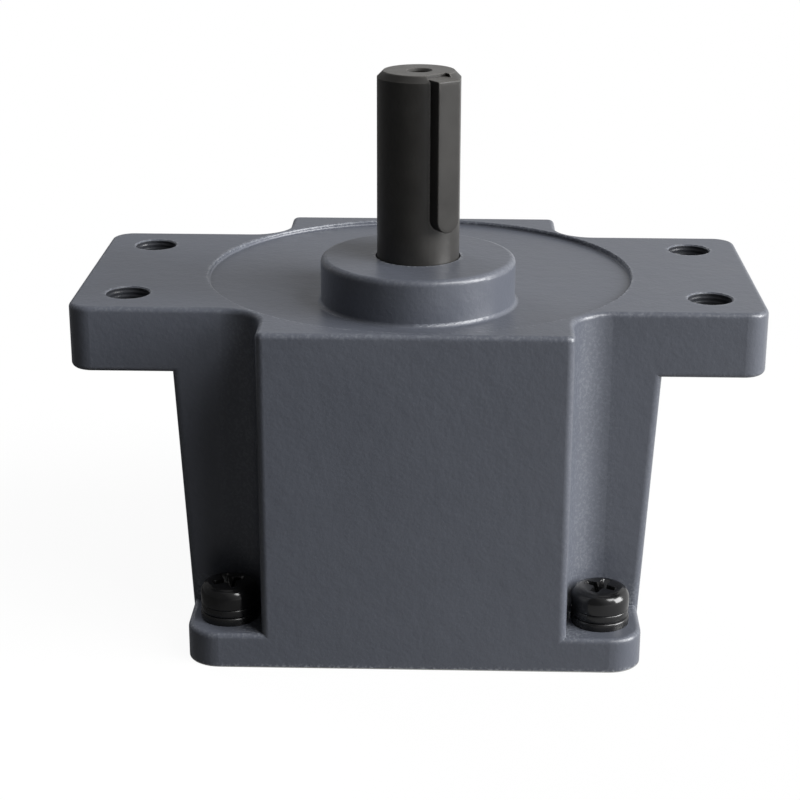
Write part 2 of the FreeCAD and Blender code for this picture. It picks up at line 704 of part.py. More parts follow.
def gear_key_groove(axis, turn, width, seat, z0, z1):
    """Return the tool for the closed key groove under a gear that stands between two levels."""
    inner = seat - KEY_SINK_RATIO * width
    foot = z0 + KEY_END_GAP - SLIP_GAP
    top = z1 - KEY_END_GAP + SLIP_GAP
    return key_bar(axis, turn, width, inner, seat + width, foot, top, True)


def tooth_outline(toothing):
    """Return the closed wire of an involute gear about the motor axis, with one tooth centred on +X."""
    pressure = math.radians(PRESSURE_ANGLE)
    pitch = pitch_radius(toothing.module, toothing.teeth)
    base = pitch * math.cos(pressure)
    tip = tip_radius(toothing)
    root = root_radius(toothing)
    flank_foot = max(base, root)
    thickness = toothing.module * (math.pi / 2 + 2 * toothing.shift * math.tan(pressure)) - TOOTH_THINNING
    half_at_base = thickness / (2 * pitch) + math.tan(pressure) - pressure
    tooth_turn = 2 * math.pi / toothing.teeth
    flank_steps = 4
    radii = [flank_foot + (tip - flank_foot) * step / flank_steps for step in range(flank_steps + 1)]

    def half_angle(radius):
        """Return half the angle that the tooth takes up at a radius."""
        roll = math.acos(min(1, base / radius))
        return half_at_base - math.tan(roll) + roll

    def point(radius, angle):
        """Return the point at an angle on a circle about the motor axis."""
        return Vector(radius * math.cos(angle), radius * math.sin(angle), 0)

    def flank(points):
        """Return the smooth edge through the points of one flank."""
        curve = Part.BSplineCurve()
        curve.interpolate(points)
        return curve.toShape()

    edges = []
    for index in range(toothing.teeth):
        centre = index * tooth_turn
        foot = half_angle(flank_foot)
        rising = [point(radius, centre - half_angle(radius)) for radius in radii]
        falling = [point(radius, centre + half_angle(radius)) for radius in reversed(radii)]
        root_start = point(root, centre + foot)
        root_end = point(root, centre + tooth_turn - foot)
        edges.append(flank(rising))
        edges.append(Part.Arc(rising[-1], point(tip, centre), falling[0]).toShape())
        edges.append(flank(falling))
        if flank_foot > root:
            edges.append(Part.makeLine(falling[-1], root_start))
        edges.append(Part.Arc(root_start, point(root, centre + tooth_turn / 2), root_end).toShape())
        if flank_foot > root:
            edges.append(Part.makeLine(root_end, point(flank_foot, centre + tooth_turn - foot)))
    return Part.Wire(edges)


def toothed_blank(toothing, axis, turn, z0, z1):
    """Return a solid toothed cylinder between two levels, one of its teeth pointing at an angle from +X."""
    blank = prism(tooth_outline(toothing), z1 - z0)
    return blank.rotated(motor_axis, UP, turn).translated(axis + UP * z0)


def make_gear(name, toothing, axis, turn, z0, z1, seat, key_width, key_turn):
    """Make a gear with its key: bore, key groove, and a recess in each side that leaves a hub and a rim."""
    key_inner = seat - KEY_SINK_RATIO * key_width
    key_outer = key_inner + key_width
    hub = key_outer + HUB_WALL
    rim = root_radius(toothing) - RIM_WALL
    groove = Part.makeBox(key_outer + SLIP_GAP, key_width, z1 - z0, Vector(0, -key_width / 2, z0))
    tools = [cylinder(seat + PRESS_GAP, z0, z1, axis)]
    tools.append(groove.rotated(motor_axis, UP, key_turn).translated(axis))
    if rim > hub:
        tools.append(tube(rim, hub, z0, z0 + WEB_RECESS, axis))
        tools.append(tube(rim, hub, z1 - WEB_RECESS, z1, axis))
    pieces[name] = toothed_blank(toothing, axis, turn, z0, z1).cut(tools)
    key_z0 = z0 + KEY_END_GAP
    key_z1 = z1 - KEY_END_GAP
    width = key_width - 2 * SLIP_GAP
    pieces[name + "_key"] = key_bar(
        axis, key_turn, width, key_inner + SLIP_GAP, key_outer, key_z0, key_z1, True
    )


def make_circlip(name, axis, seat, gear_z, turn):
    """Make an open retaining ring with two eyed ends, seated in its groove just under a gear."""
    inner = seat - CIRCLIP_GROOVE + SLIP_GAP
    outer = inner + CIRCLIP_WIDTH
    z1 = gear_z - GROOVE_SLACK
    z0 = z1 - CIRCLIP_THICK
    mouth_reach = 2 * outer
    mouth_start = on_circle(axis + UP * z0, mouth_reach, turn - CIRCLIP_MOUTH_ANGLE / 2)
    mouth_end = on_circle(axis + UP * z0, mouth_reach, turn + CIRCLIP_MOUTH_ANGLE / 2)
    mouth_points = [axis + UP * z0, mouth_start, mouth_end, axis + UP * z0]
    clip = tube(outer, inner, z0, z1, axis).cut(prism(Part.makePolygon(mouth_points), CIRCLIP_THICK))
    lug_turn = CIRCLIP_MOUTH_ANGLE / 2 + math.degrees(CIRCLIP_LUG / outer)
    lug_places = [on_circle(axis, inner + CIRCLIP_LUG, turn + side * lug_turn) for side in (-1, 1)]
    clip = clip.fuse([cylinder(CIRCLIP_LUG - SLIP_GAP, z0, z1, place) for place in lug_places])
    pieces[name] = clip.cut([cylinder(CIRCLIP_EYE, z0, z1, place) for place in lug_places]).removeSplitter()


def circlip_groove(axis, seat, gear_z):
    """Return the tool for the groove of the circlip under a gear."""
    z0 = gear_z - CIRCLIP_THICK - 2 * GROOVE_SLACK
    return tube(seat + CIRCLIP_WIDTH, seat - CIRCLIP_GROOVE, z0, gear_z, axis)


def make_pinion_shaft(
    name, axis, journal_dia, toothing, turn, gear_z, gear_top, pinion_top, key_width, key_turn, neck=None
):
    """Make a shaft with its pinion cut from the solid, two journals and a keyed gear seat.

    A neck, where the shaft has one, is its radius between the floor and the gear.
    """
    journal = journal_dia / 2
    seat = journal + GEAR_SEAT_STEP
    shoulder = journal + SHOULDER_STEP
    bottom = lower_seat_z + RING_CHAMFER
    top = ceiling_z + SMALL_BEARING_WIDTH - RING_CHAMFER
    outline = [(0, bottom), (journal, bottom), (journal, floor_z), (seat, floor_z)]
    if neck:
        neck_z0 = floor_z + FLOOR_GAP / 2
        neck_z1 = gear_z - 1.5 * CIRCLIP_THICK
        outline += [(seat, neck_z0), (neck, neck_z0), (neck, neck_z1), (seat, neck_z1)]
    outline += [(seat, gear_top), (shoulder, gear_top), (shoulder, ceiling_z)]
    outline += [(journal, ceiling_z), (journal, top), (0, top)]
    shaft = turned(outline, axis)
    shaft = shaft.fuse(toothed_blank(toothing, axis, turn, gear_top, pinion_top)).removeSplitter()
    key_groove = gear_key_groove(axis, key_turn, key_width, seat, gear_z, gear_top)
    pieces[name] = shaft.cut([key_groove, circlip_groove(axis, seat, gear_z)])


def make_output_shaft():
    """Make the output shaft, with a collar over its gear seat and a centre hole, and its end key."""
    tail = OUTPUT_TAIL_DIA / 2
    collar = shaft_radius + OUTPUT_COLLAR_STEP
    bottom = lower_seat_z + RING_CHAMFER
    neck_z0 = second_gear_z - STAGE_GAP / 2
    neck_z1 = second_gear_top + STAGE_GAP / 2
    seat_z = output_gear_z - 2 * CIRCLIP_THICK
    hole = CENTRE_HOLE_DIA / 2
    hole_floor = shaft_end - CENTRE_HOLE_DEPTH
    shaft = turned(
        [
            (0, bottom),
            (tail, bottom),
            (tail, floor_z),
            (output_middle, floor_z),
            (output_middle, neck_z0),
            (output_neck, neck_z0),
            (output_neck, neck_z1),
            (output_middle, neck_z1),
            (output_middle, seat_z),
            (output_seat, seat_z),
            (output_seat, output_gear_top),
            (collar, output_gear_top),
            (collar, ceiling_z),
            (shaft_radius, ceiling_z),
            (shaft_radius, shaft_end - SHAFT_END_CHAMFER),
            (shaft_radius - SHAFT_END_CHAMFER, shaft_end),
            (hole + CENTRE_COUNTERSINK, shaft_end),
            (hole, shaft_end - CENTRE_COUNTERSINK),
            (hole, hole_floor),
            (0, hole_floor - hole),
        ],
        output_axis,
    )
    key_inner = shaft_radius - KEY_SINK_RATIO * SHAFT_KEY_WIDTH
    key_outer = key_inner + SHAFT_KEY_WIDTH
    key_z0 = boss_top + SHAFT_KEY_FOOT
    key_z1 = shaft_end - SHAFT_END_CHAMFER / 2
    groove_z0 = key_z0 - SLIP_GAP
    end_groove = key_bar(
        output_axis, SHAFT_KEY_ANGLE, SHAFT_KEY_WIDTH, key_inner, key_outer, groove_z0, shaft_end, False
    )
    gear_groove = gear_key_groove(
        output_axis, OUTPUT_KEY_ANGLE, OUTPUT_KEY_WIDTH, output_seat, output_gear_z, output_gear_top
    )
    clip_groove = circlip_groove(output_axis, output_seat, output_gear_z)
    pieces["output_shaft"] = shaft.cut([end_groove, gear_groove, clip_groove])
    width = SHAFT_KEY_WIDTH - 2 * SLIP_GAP
    pieces["shaft_key"] = key_bar(
        output_axis, SHAFT_KEY_ANGLE, width, key_inner + SLIP_GAP, key_outer, key_z0, key_z1, False
    )


make_case()
make_flange()
make_screws()
make_seal()
for bearing_name, bearing_sizes in bearings.items():
    make_bearing(bearing_name, bearing_sizes)
make_pinion_shaft(
    "first_pinion_shaft", first_axis, FIRST_JOURNAL_DIA, first_pinion_toothing, first_pinion_turn,
    first_gear_z, first_gear_top, second_gear_top + PINION_OVERLAP, FIRST_KEY_WIDTH, FIRST_KEY_ANGLE,
)
make_pinion_shaft(
    "second_pinion_shaft", second_axis, SECOND_JOURNAL_DIA, second_pinion_toothing, second_pinion_turn,
    second_gear_z, second_gear_top, output_gear_top + PINION_OVERLAP, SECOND_KEY_WIDTH, SECOND_KEY_ANGLE,
    second_neck,
)
make_output_shaft()
make_gear(
    "first_gear", first_toothing, first_axis, first_gear_turn,
    first_gear_z, first_gear_top, first_seat, FIRST_KEY_WIDTH, FIRST_KEY_ANGLE,
)
make_gear(
    "second_gear", second_toothing, second_axis, second_gear_turn,
    second_gear_z, second_gear_top, second_seat, SECOND_KEY_WIDTH, SECOND_KEY_ANGLE,
)
make_gear(
    "output_gear", output_toothing, output_axis, output_gear_turn,
    output_gear_z, output_gear_top, output_seat, OUTPUT_KEY_WIDTH, OUTPUT_KEY_ANGLE,
)
make_circlip("first_gear_circlip", first_axis, first_seat, first_gear_z, FIRST_KEY_ANGLE + 180)
make_circlip("second_gear_circlip", second_axis, second_seat, second_gear_z, SECOND_KEY_ANGLE + 180)
make_circlip("output_gear_circlip", output_axis, output_seat, output_gear_z, OUTPUT_KEY_ANGLE + 180)

os.makedirs("parts", exist_ok=True)
for node, shape in pieces.items():
    shape.exportStep("parts/" + node + ".step")
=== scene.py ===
import math
import bmesh
import bpy
import numpy as np
from mathutils import Matrix, Vector


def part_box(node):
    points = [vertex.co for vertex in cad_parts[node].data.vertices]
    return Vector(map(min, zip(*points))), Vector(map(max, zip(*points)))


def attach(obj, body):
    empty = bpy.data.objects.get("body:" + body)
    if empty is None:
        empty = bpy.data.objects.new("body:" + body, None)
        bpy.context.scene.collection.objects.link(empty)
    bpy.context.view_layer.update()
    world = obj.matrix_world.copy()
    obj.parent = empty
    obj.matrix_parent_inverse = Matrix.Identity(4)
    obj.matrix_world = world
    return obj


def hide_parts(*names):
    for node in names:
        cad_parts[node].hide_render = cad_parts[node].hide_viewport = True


# Gear reducer with mounting wings and an offset keyed output shaft, put together from the flange upwards.
# Metres, and millimetres inside the new surfaces. The base stands on z = 0 and the shaft points up.
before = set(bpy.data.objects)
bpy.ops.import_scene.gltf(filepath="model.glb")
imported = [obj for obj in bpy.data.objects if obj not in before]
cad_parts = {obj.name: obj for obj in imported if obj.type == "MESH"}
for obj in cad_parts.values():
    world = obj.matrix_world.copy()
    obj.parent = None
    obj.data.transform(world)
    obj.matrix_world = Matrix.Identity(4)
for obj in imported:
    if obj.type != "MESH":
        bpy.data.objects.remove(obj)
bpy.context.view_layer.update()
bpy.context.scene.view_settings.view_transform = "Standard"


# Input flange
# A plate of cast aluminium let into the underside of the case. Its faces, spigot and bearing seats are
# turned in one clamping, so fine rings run round the motor axis. Four screws hold it, two dowels place it.
MOTOR_AXIS = (0.0, 0.0, 0.0)
FLANGE_FEED = 0.00045
FLANGE_RIDGE = 0.00003
FLANGE_BITE = 0.5
FLANGE_DULL = (0.40, 0.40, 0.39, 1.0)
FLANGE_BRIGHT = (0.62, 0.62, 0.60, 1.0)
FLANGE_ROUGH = (0.46, 0.30)
BITE_CHANGE = 0.7
HAZE_LUMPS = 90.0
NOISE_LOW = 0.3
NOISE_HIGH = 0.7
METAL = 1.0
NOT_METAL = 0.0


def add_node(tree, kind, inputs=None, **settings):
    """Add a shader node, set its properties, and set or link its inputs by name or number."""
    node = tree.nodes.new("ShaderNode" + kind)
    for name, value in settings.items():
        setattr(node, name, value)
    for name, value in (inputs or {}).items():
        if isinstance(value, bpy.types.NodeSocket):
            tree.links.new(value, node.inputs[name])
        else:
            node.inputs[name].default_value = value
    return node


def combine(tree, operation, first, second=0.0):
    """Return the sum, product or other result of two values."""
    return add_node(tree, "Math", {0: first, 1: second}, operation=operation).outputs[0]


def spread(tree, value, low, high, to_low, to_high):
    """Return a value stretched from one range to another and held at the ends."""
    limits = {"From Min": low, "From Max": high, "To Min": to_low, "To Max": to_high}
    return add_node(tree, "MapRange", {"Value": value, **limits}).outputs[0]


def shade_between(tree, mask, low, high):
    """Return the colour that goes from low to high as a mask goes from 0 to 1."""
    return add_node(tree, "Mix", {0: mask, 6: low, 7: high}, data_type="RGBA").outputs[2]


def cloud(tree, place, lumps, detail):
    """Return cloudy noise from 0 to 1, with a number of lumps in a metre and of finer layers on them."""
    return add_node(tree, "TexNoise", {"Vector": place, "Scale": lumps, "Detail": detail}).outputs[0]


def axis_distance(tree, place):
    """Return how far a place is from an upright axis through the origin, and its x, y and z."""
    parts = add_node(tree, "SeparateXYZ", {0: place}).outputs
    across = add_node(tree, "CombineXYZ", {0: parts[0], 1: parts[1]}).outputs[0]
    return add_node(tree, "VectorMath", {0: across}, operation="LENGTH").outputs["Value"], parts


def new_group(name, inputs, outputs):
    """Return the tree of a new shader node group, with the sockets that enter and those that leave it."""
    tree = bpy.data.node_groups.new(name, "ShaderNodeTree")
    for socket, kind, value in inputs:
        entry = tree.interface.new_socket(socket, in_out="INPUT", socket_type="NodeSocket" + kind)
        entry.default_value = value
    for socket in outputs:
        tree.interface.new_socket(socket, in_out="OUTPUT", socket_type="NodeSocketFloat")
    return tree, tree.nodes.new("NodeGroupInput").outputs, tree.nodes.new("NodeGroupOutput").inputs


def use_group(tree, group, **inputs):
    """Place a node group in a material with its own input values and return its outputs."""
    node = tree.nodes.new("ShaderNodeGroup")
    node.node_tree = group
    for name, value in inputs.items():
        node.inputs[name].default_value = value
    return node.outputs


def new_finish(name, metallic, specular=0.5):
    """Return a new material, its node tree and its shader's inputs, with what holds all over it set."""
    material = bpy.data.materials.new(name)
    material.use_nodes = True
    shader = material.node_tree.nodes["Principled BSDF"].inputs
    shader["Metallic"].default_value = metallic
    shader["Specular IOR Level"].default_value = specular
    return material, material.node_tree, shader


def vary(tree, shader, shade_mask, shades, noise, rough):
    """Let a mask choose between two shades, and a noise between two values of roughness."""
    tree.links.new(shade_between(tree, shade_mask, *shades), shader["Base Color"])
    tree.links.new(spread(tree, noise, NOISE_LOW, NOISE_HIGH, *rough), shader["Roughness"])


def roughen(tree, shader, height, bite, depth):
    """Let a height from 0 to 1 stand up from the surface by a depth in metres, as strongly as it bites."""
    bump = add_node(tree, "Bump", {"Strength": bite, "Distance": depth, "Height": height})
    tree.links.new(bump.outputs[0], shader["Normal"])


def dress(material, *nodes):
    """Give a finish to CAD nodes."""
    for node in nodes:
        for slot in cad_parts[node].material_slots:
            slot.material = material


# Turning marks follow the distance from the lathe's axis plus the height, so that they are rings on an end
# face and lines round a cylinder. Each turn of the tool cuts to a slightly different depth.
turning_marks, given, leaving = new_group(
    "turning_marks",
    [("Axis", "Vector", MOTOR_AXIS), ("Feed", "Float", FLANGE_FEED)],
    ["Rings", "Haze"],
)
spot = add_node(turning_marks, "TexCoord").outputs["Object"]
arm = add_node(turning_marks, "VectorMath", {0: spot, 1: given["Axis"]}, operation="SUBTRACT").outputs[0]
radius, arm_parts = axis_distance(turning_marks, arm)
travel = combine(turning_marks, "ADD", radius, arm_parts[2])
turns = combine(turning_marks, "DIVIDE", travel, given["Feed"])
wave = combine(turning_marks, "SINE", combine(turning_marks, "MULTIPLY", turns, 2 * math.pi))
bite_noise = {"W": turns, "Scale": BITE_CHANGE}
bite = add_node(turning_marks, "TexNoise", bite_noise, noise_dimensions="1D").outputs[0]
ridges = combine(turning_marks, "MULTIPLY", spread(turning_marks, wave, -1.0, 1.0, 0.0, 1.0), bite)
turning_marks.links.new(ridges, leaving["Rings"])
turning_marks.links.new(cloud(turning_marks, spot, HAZE_LUMPS, detail=4.0), leaving["Haze"])

flange_finish, tree, shader = new_finish("turned_aluminium", METAL)
marks = use_group(tree, turning_marks, Axis=MOTOR_AXIS, Feed=FLANGE_FEED)
vary(tree, shader, marks["Haze"], (FLANGE_DULL, FLANGE_BRIGHT), marks["Haze"], FLANGE_ROUGH)
roughen(tree, shader, marks["Rings"], FLANGE_BITE, FLANGE_RIDGE)
dress(flange_finish, "input_flange")


# Flange O-ring and dowel pins
# The ring is moulded nitrile rubber, squeezed between the spigot and the case. The two pins are hardened
# steel, ground to size, and pressed through the flange plate into the case.
RUBBER_DARK = (0.010, 0.010, 0.011, 1.0)
RUBBER_BLOOM = (0.022, 0.022, 0.023, 1.0)
RUBBER_SPECULAR = 0.3
RUBBER_ROUGH = (0.42, 0.62)
RUBBER_LUMPS = 240.0
RUBBER_PIMPLES = 5200.0
RUBBER_RELIEF = 0.00002
RUBBER_BITE = 0.25
PIN_FEED = 0.00012
PIN_SHADE = (0.42, 0.42, 0.43, 1.0)
PIN_SHINE = (0.60, 0.60, 0.60, 1.0)
PIN_ROUGH = 0.24
GROUND_DULLER = 1.3
GROUND_SMOOTHER = 0.8
GROUND_RIDGE = 0.000006
GROUND_BITE = 0.3

rubber_finish, tree, shader = new_finish("nitrile_rubber", NOT_METAL, RUBBER_SPECULAR)
spot = add_node(tree, "TexCoord").outputs["Object"]
bloom = cloud(tree, spot, RUBBER_LUMPS, detail=4.0)
vary(tree, shader, bloom, (RUBBER_DARK, RUBBER_BLOOM), bloom, RUBBER_ROUGH)
roughen(tree, shader, cloud(tree, spot, RUBBER_PIMPLES, detail=2.0), RUBBER_BITE, RUBBER_RELIEF)
dress(rubber_finish, "flange_o_ring")


def ground_steel(name, axis, shade, shine, roughness):
    """Return bright ground steel with fine lines round an axis and a faint uneven haze."""
    finish, tree, shader = new_finish(name, METAL)
    marks = use_group(tree, turning_marks, Axis=axis, Feed=PIN_FEED)
    rough = (roughness * GROUND_DULLER, roughness * GROUND_SMOOTHER)
    vary(tree, shader, marks["Haze"], (shade, shine), marks["Haze"], rough)
    roughen(tree, shader, marks["Rings"], GROUND_BITE, GROUND_RIDGE)
    return finish


dress(ground_steel("ground_pin_steel", MOTOR_AXIS, PIN_SHADE, PIN_SHINE, PIN_ROUGH), "dowel_pins")


# Ball bearings
# Six deep-groove bearings carry the three shafts: hardened rings ground and honed, polished balls, and a
# brass cage that keeps the balls apart. The lower ones sit in the flange, the upper ones in the case.
RING_SHADE = (0.48, 0.48, 0.48, 1.0)
RING_SHINE = (0.66, 0.66, 0.65, 1.0)
RING_ROUGH = 0.17
BALL_SHADE = (0.62, 0.62, 0.63, 1.0)
BALL_SHINE = (0.74, 0.74, 0.74, 1.0)
BALL_ROUGH = (0.05, 0.10)
BALL_LUMPS = 420.0
BRASS_DULL = (0.52, 0.34, 0.13, 1.0)
BRASS_BRIGHT = (0.74, 0.52, 0.22, 1.0)
BRASS_ROUGH = (0.44, 0.26)
BRASS_LUMPS = 260.0
BRASS_GRAIN = 3800.0
BRASS_RELIEF = 0.00001
BRASS_BITE = 0.3


def axis_of(node):
    """Return the point where a round node's upright axis meets the floor."""
    lowest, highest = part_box(node)
    return ((lowest[0] + highest[0]) / 2, (lowest[1] + highest[1]) / 2, 0.0)


shaft_axes = {shaft: axis_of(shaft + "_upper_inner_ring") for shaft in ("output", "second", "first")}
ball_finish, tree, shader = new_finish("polished_balls", METAL)
haze = cloud(tree, add_node(tree, "TexCoord").outputs["Object"], BALL_LUMPS, detail=3.0)
vary(tree, shader, haze, (BALL_SHADE, BALL_SHINE), haze, BALL_ROUGH)

cage_finish, tree, shader = new_finish("cage_brass", METAL)
spot = add_node(tree, "TexCoord").outputs["Object"]
tarnish = cloud(tree, spot, BRASS_LUMPS, detail=5.0)
vary(tree, shader, tarnish, (BRASS_DULL, BRASS_BRIGHT), tarnish, BRASS_ROUGH)
roughen(tree, shader, cloud(tree, spot, BRASS_GRAIN, detail=3.0), BRASS_BITE, BRASS_RELIEF)

for shaft, axis in shaft_axes.items():
    ring_finish = ground_steel(shaft + "_ring_steel", axis, RING_SHADE, RING_SHINE, RING_ROUGH)
    for end in ("_upper", "_lower"):
        dress(ring_finish, shaft + end + "_inner_ring", shaft + end + "_outer_ring")
        dress(ball_finish, shaft + end + "_balls")
        dress(cage_finish, shaft + end + "_cage")


# Gears and pinion shafts
# Case-hardened alloy steel: blanks turned on a lathe, teeth hobbed, each pinion cut from the solid of its
# shaft. Each gear is held by a key and by an open spring-steel ring blackened in hot oil.
GEAR_FEED = 0.00025
GEAR_RIDGE = 0.000015
GEAR_BITE = 0.4
GEAR_DULL = (0.24, 0.235, 0.23, 1.0)
GEAR_BRIGHT = (0.44, 0.43, 0.42, 1.0)
GEAR_ROUGH = (0.42, 0.26)
GEAR_LUMPS = 160.0
KEY_STOCK_DULL = (0.34, 0.34, 0.34, 1.0)
KEY_STOCK_BRIGHT = (0.50, 0.50, 0.49, 1.0)
KEY_STOCK_ROUGH = (0.24, 0.38)
KEY_STOCK_LUMPS = 400.0
KEY_STOCK_RELIEF = 0.000008
BLUED_DARK = (0.016, 0.016, 0.018, 1.0)
BLUED_PALE = (0.040, 0.040, 0.042, 1.0)
BLUED_ROUGH = (0.26, 0.44)
BLUED_LUMPS = 500.0
BLUED_RELIEF = 0.00001
OXIDE_BITE = 0.2
GRAIN_FINENESS = 14.0

# Oxide bloom: blackened steel is never one even black, but clouded by a few millimetres, with a finer grain
oxide_bloom, given, leaving = new_group("oxide_bloom", [("Cloud", "Float", GEAR_LUMPS)], ["Bloom", "Grain"])
spot = add_node(oxide_bloom, "TexCoord").outputs["Object"]
oxide_bloom.links.new(cloud(oxide_bloom, spot, given["Cloud"], detail=5.0), leaving["Bloom"])
grain_lumps = combine(oxide_bloom, "MULTIPLY", given["Cloud"], GRAIN_FINENESS)
oxide_bloom.links.new(cloud(oxide_bloom, spot, grain_lumps, detail=2.0), leaving["Grain"])

key_stock, tree, shader = new_finish("drawn_key_steel", METAL)
bloom = use_group(tree, oxide_bloom, Cloud=KEY_STOCK_LUMPS)
vary(tree, shader, bloom["Bloom"], (KEY_STOCK_DULL, KEY_STOCK_BRIGHT), bloom["Grain"], KEY_STOCK_ROUGH)
roughen(tree, shader, bloom["Grain"], OXIDE_BITE, KEY_STOCK_RELIEF)

blued_steel, tree, shader = new_finish("blued_spring_steel", NOT_METAL)
bloom = use_group(tree, oxide_bloom, Cloud=BLUED_LUMPS)
vary(tree, shader, bloom["Bloom"], (BLUED_DARK, BLUED_PALE), bloom["Grain"], BLUED_ROUGH)
roughen(tree, shader, bloom["Grain"], OXIDE_BITE, BLUED_RELIEF)

for shaft, axis in shaft_axes.items():
    gear_finish, tree, shader = new_finish(shaft + "_gear_steel", METAL)
    marks = use_group(tree, turning_marks, Axis=axis, Feed=GEAR_FEED)
    bloom = use_group(tree, oxide_bloom, Cloud=GEAR_LUMPS)
    vary(tree, shader, bloom["Bloom"], (GEAR_DULL, GEAR_BRIGHT), marks["Haze"], GEAR_ROUGH)
    roughen(tree, shader, marks["Rings"], GEAR_BITE, GEAR_RIDGE)
    dress(gear_finish, shaft + "_gear")
    if shaft != "output":
        dress(gear_finish, shaft + "_pinion_shaft")
    dress(key_stock, shaft + "_gear_key")
    dress(blued_steel, shaft + "_gear_circlip")


# Gear case
# One aluminium casting sprayed with slate-grey enamel that keeps the grit of the sand mould, with pale
# specks painted on edges and in inner corners as highlights. The boss and its recess are turned before
# painting.
# The wing holes are drilled and darkened inside with painted shade, and the underside and the chamber are
# machined bare.
PAINT_DEEP = (0.0735, 0.0800, 0.0985, 1.0)
PAINT_PALE = (0.0900, 0.0978, 0.1190, 1.0)
# Pale specks painted on edges and in inner corners as highlights
PAINT_GLINT_SPECKS = (0.255, 0.269, 0.291, 1.0)
PAINT_ROUGH = (0.31, 0.38)
PAINT_LUMPS = 60.0
BARE_MILLED = (0.50, 0.50, 0.49, 1.0)
GRIT_SIZE = 0.00070
GRIT_RELIEF = 0.00022
GRIT_BITE = 1.0
GRIT_SHARE = 0.5
FLAT_GRIT = 0.34
PEEL_COARSENESS = 0.22
SPECK_FINENESS = 1.2
SPECK_BOUNDS = (0.50, 0.59)
SPECK_COVER = 0.85
EDGE_REACH = 0.0011
EDGE_BOUNDS = (0.92, 0.6)
FEELERS = 6
# How far the painted highlight specks reach into inner corners
CORNER_GLINT_REACH = 0.007
CORNER_GLINT_BOUNDS = (0.93, 0.78)
CORNER_GLINT_SHOWN = 0.65
TURNED_LEVEL = 0.0665
MILLED_LEVEL = 0.0002
CHAMBER_RADIUS = 0.0391
CHAMBER_TOP = 0.0572
WING_HOLE_PLACE = (0.0570, 0.0185, 0.0)
WING_HOLE_REACH = 0.0043
DRILL_FEED = 0.0009
DRILL_RIDGE = 0.16
# Painted shade inside the wing holes
HOLE_PAINTED_SHADE = (0.034, 0.036, 0.042, 1.0)

# Cast grain: grit the size of sand grains, on slower waves like orange peel, and a tone that drifts over
# a few centimetres
grain_outputs = ["Height", "Tone", "Speck"]
cast_grain, given, leaving = new_group("cast_grain", [("Size", "Float", GRIT_SIZE)], grain_outputs)
spot = add_node(cast_grain, "TexCoord").outputs["Object"]
grit_lumps = combine(cast_grain, "DIVIDE", 1.0, given["Size"])
grit = cloud(cast_grain, spot, grit_lumps, detail=3.0)
peel_lumps = combine(cast_grain, "MULTIPLY", grit_lumps, PEEL_COARSENESS)
peel = cloud(cast_grain, spot, peel_lumps, detail=2.0)
speck_lumps = combine(cast_grain, "MULTIPLY", grit_lumps, SPECK_FINENESS)
speck = cloud(cast_grain, spot, speck_lumps, detail=2.0)
grain_height = combine(cast_grain, "ADD", combine(cast_grain, "MULTIPLY", grit, GRIT_SHARE), peel)
cast_grain.links.new(grain_height, leaving["Height"])
cast_grain.links.new(cloud(cast_grain, spot, PAINT_LUMPS, detail=5.0), leaving["Tone"])
cast_grain.links.new(spread(cast_grain, speck, *SPECK_BOUNDS, 0.0, 1.0), leaving["Speck"])

# Edge glint: how little metal lies behind the surface within a short reach, which tells its outer edges.
# Painted highlights go on them
edge_glint, given, leaving = new_group("edge_glint", [("Reach", "Float", EDGE_REACH)], ["Edge"])
inward = {"samples": FEELERS, "inside": True, "only_local": True}
backing = add_node(edge_glint, "AmbientOcclusion", {"Distance": given["Reach"]}, **inward).outputs["AO"]
edge_glint.links.new(spread(edge_glint, backing, *EDGE_BOUNDS, 0.0, 1.0), leaving["Edge"])

# Pale specks along the edges are painted highlights, standing in for glints of light on the grit. Below the
# level of the turned boss and recess they are painted in inner corners too, where little open air is left
# round the surface
paint_finish, tree, shader = new_finish("slate_enamel_on_casting", NOT_METAL)
grain = use_group(tree, cast_grain, Size=GRIT_SIZE)
edge = use_group(tree, edge_glint, Reach=EDGE_REACH)["Edge"]
drift = shade_between(tree, grain["Tone"], PAINT_DEEP, PAINT_PALE)
spot = add_node(tree, "TexCoord").outputs["Object"]
radius, spot_parts = axis_distance(tree, spot)
outward = {"samples": FEELERS, "inside": False, "only_local": True}
openness = add_node(tree, "AmbientOcclusion", {"Distance": CORNER_GLINT_REACH}, **outward).outputs["AO"]
# Painted highlight: pale specks on the edges and, below the turned level, in inner corners
inner_corner_glint = spread(tree, openness, *CORNER_GLINT_BOUNDS, 0.0, CORNER_GLINT_SHOWN)
unturned = combine(tree, "LESS_THAN", spot_parts[2], TURNED_LEVEL)
glint_speck_places = combine(tree, "MAXIMUM", edge, combine(tree, "MULTIPLY", inner_corner_glint, unturned))
specks = spread(tree, grain["Speck"], 0.0, 1.0, 0.0, SPECK_COVER)
glint_specks = combine(tree, "MULTIPLY", glint_speck_places, specks)
painted = shade_between(tree, glint_specks, drift, PAINT_GLINT_SPECKS)

# Bare metal is left on the underside and in the chamber
underside = combine(tree, "LESS_THAN", spot_parts[2], MILLED_LEVEL)
in_chamber = combine(
    tree,
    "MULTIPLY",
    combine(tree, "LESS_THAN", radius, CHAMBER_RADIUS),
    combine(tree, "LESS_THAN", spot_parts[2], CHAMBER_TOP),
)
bare = combine(tree, "MAXIMUM", underside, in_chamber)
tree.links.new(bare, shader["Metallic"])

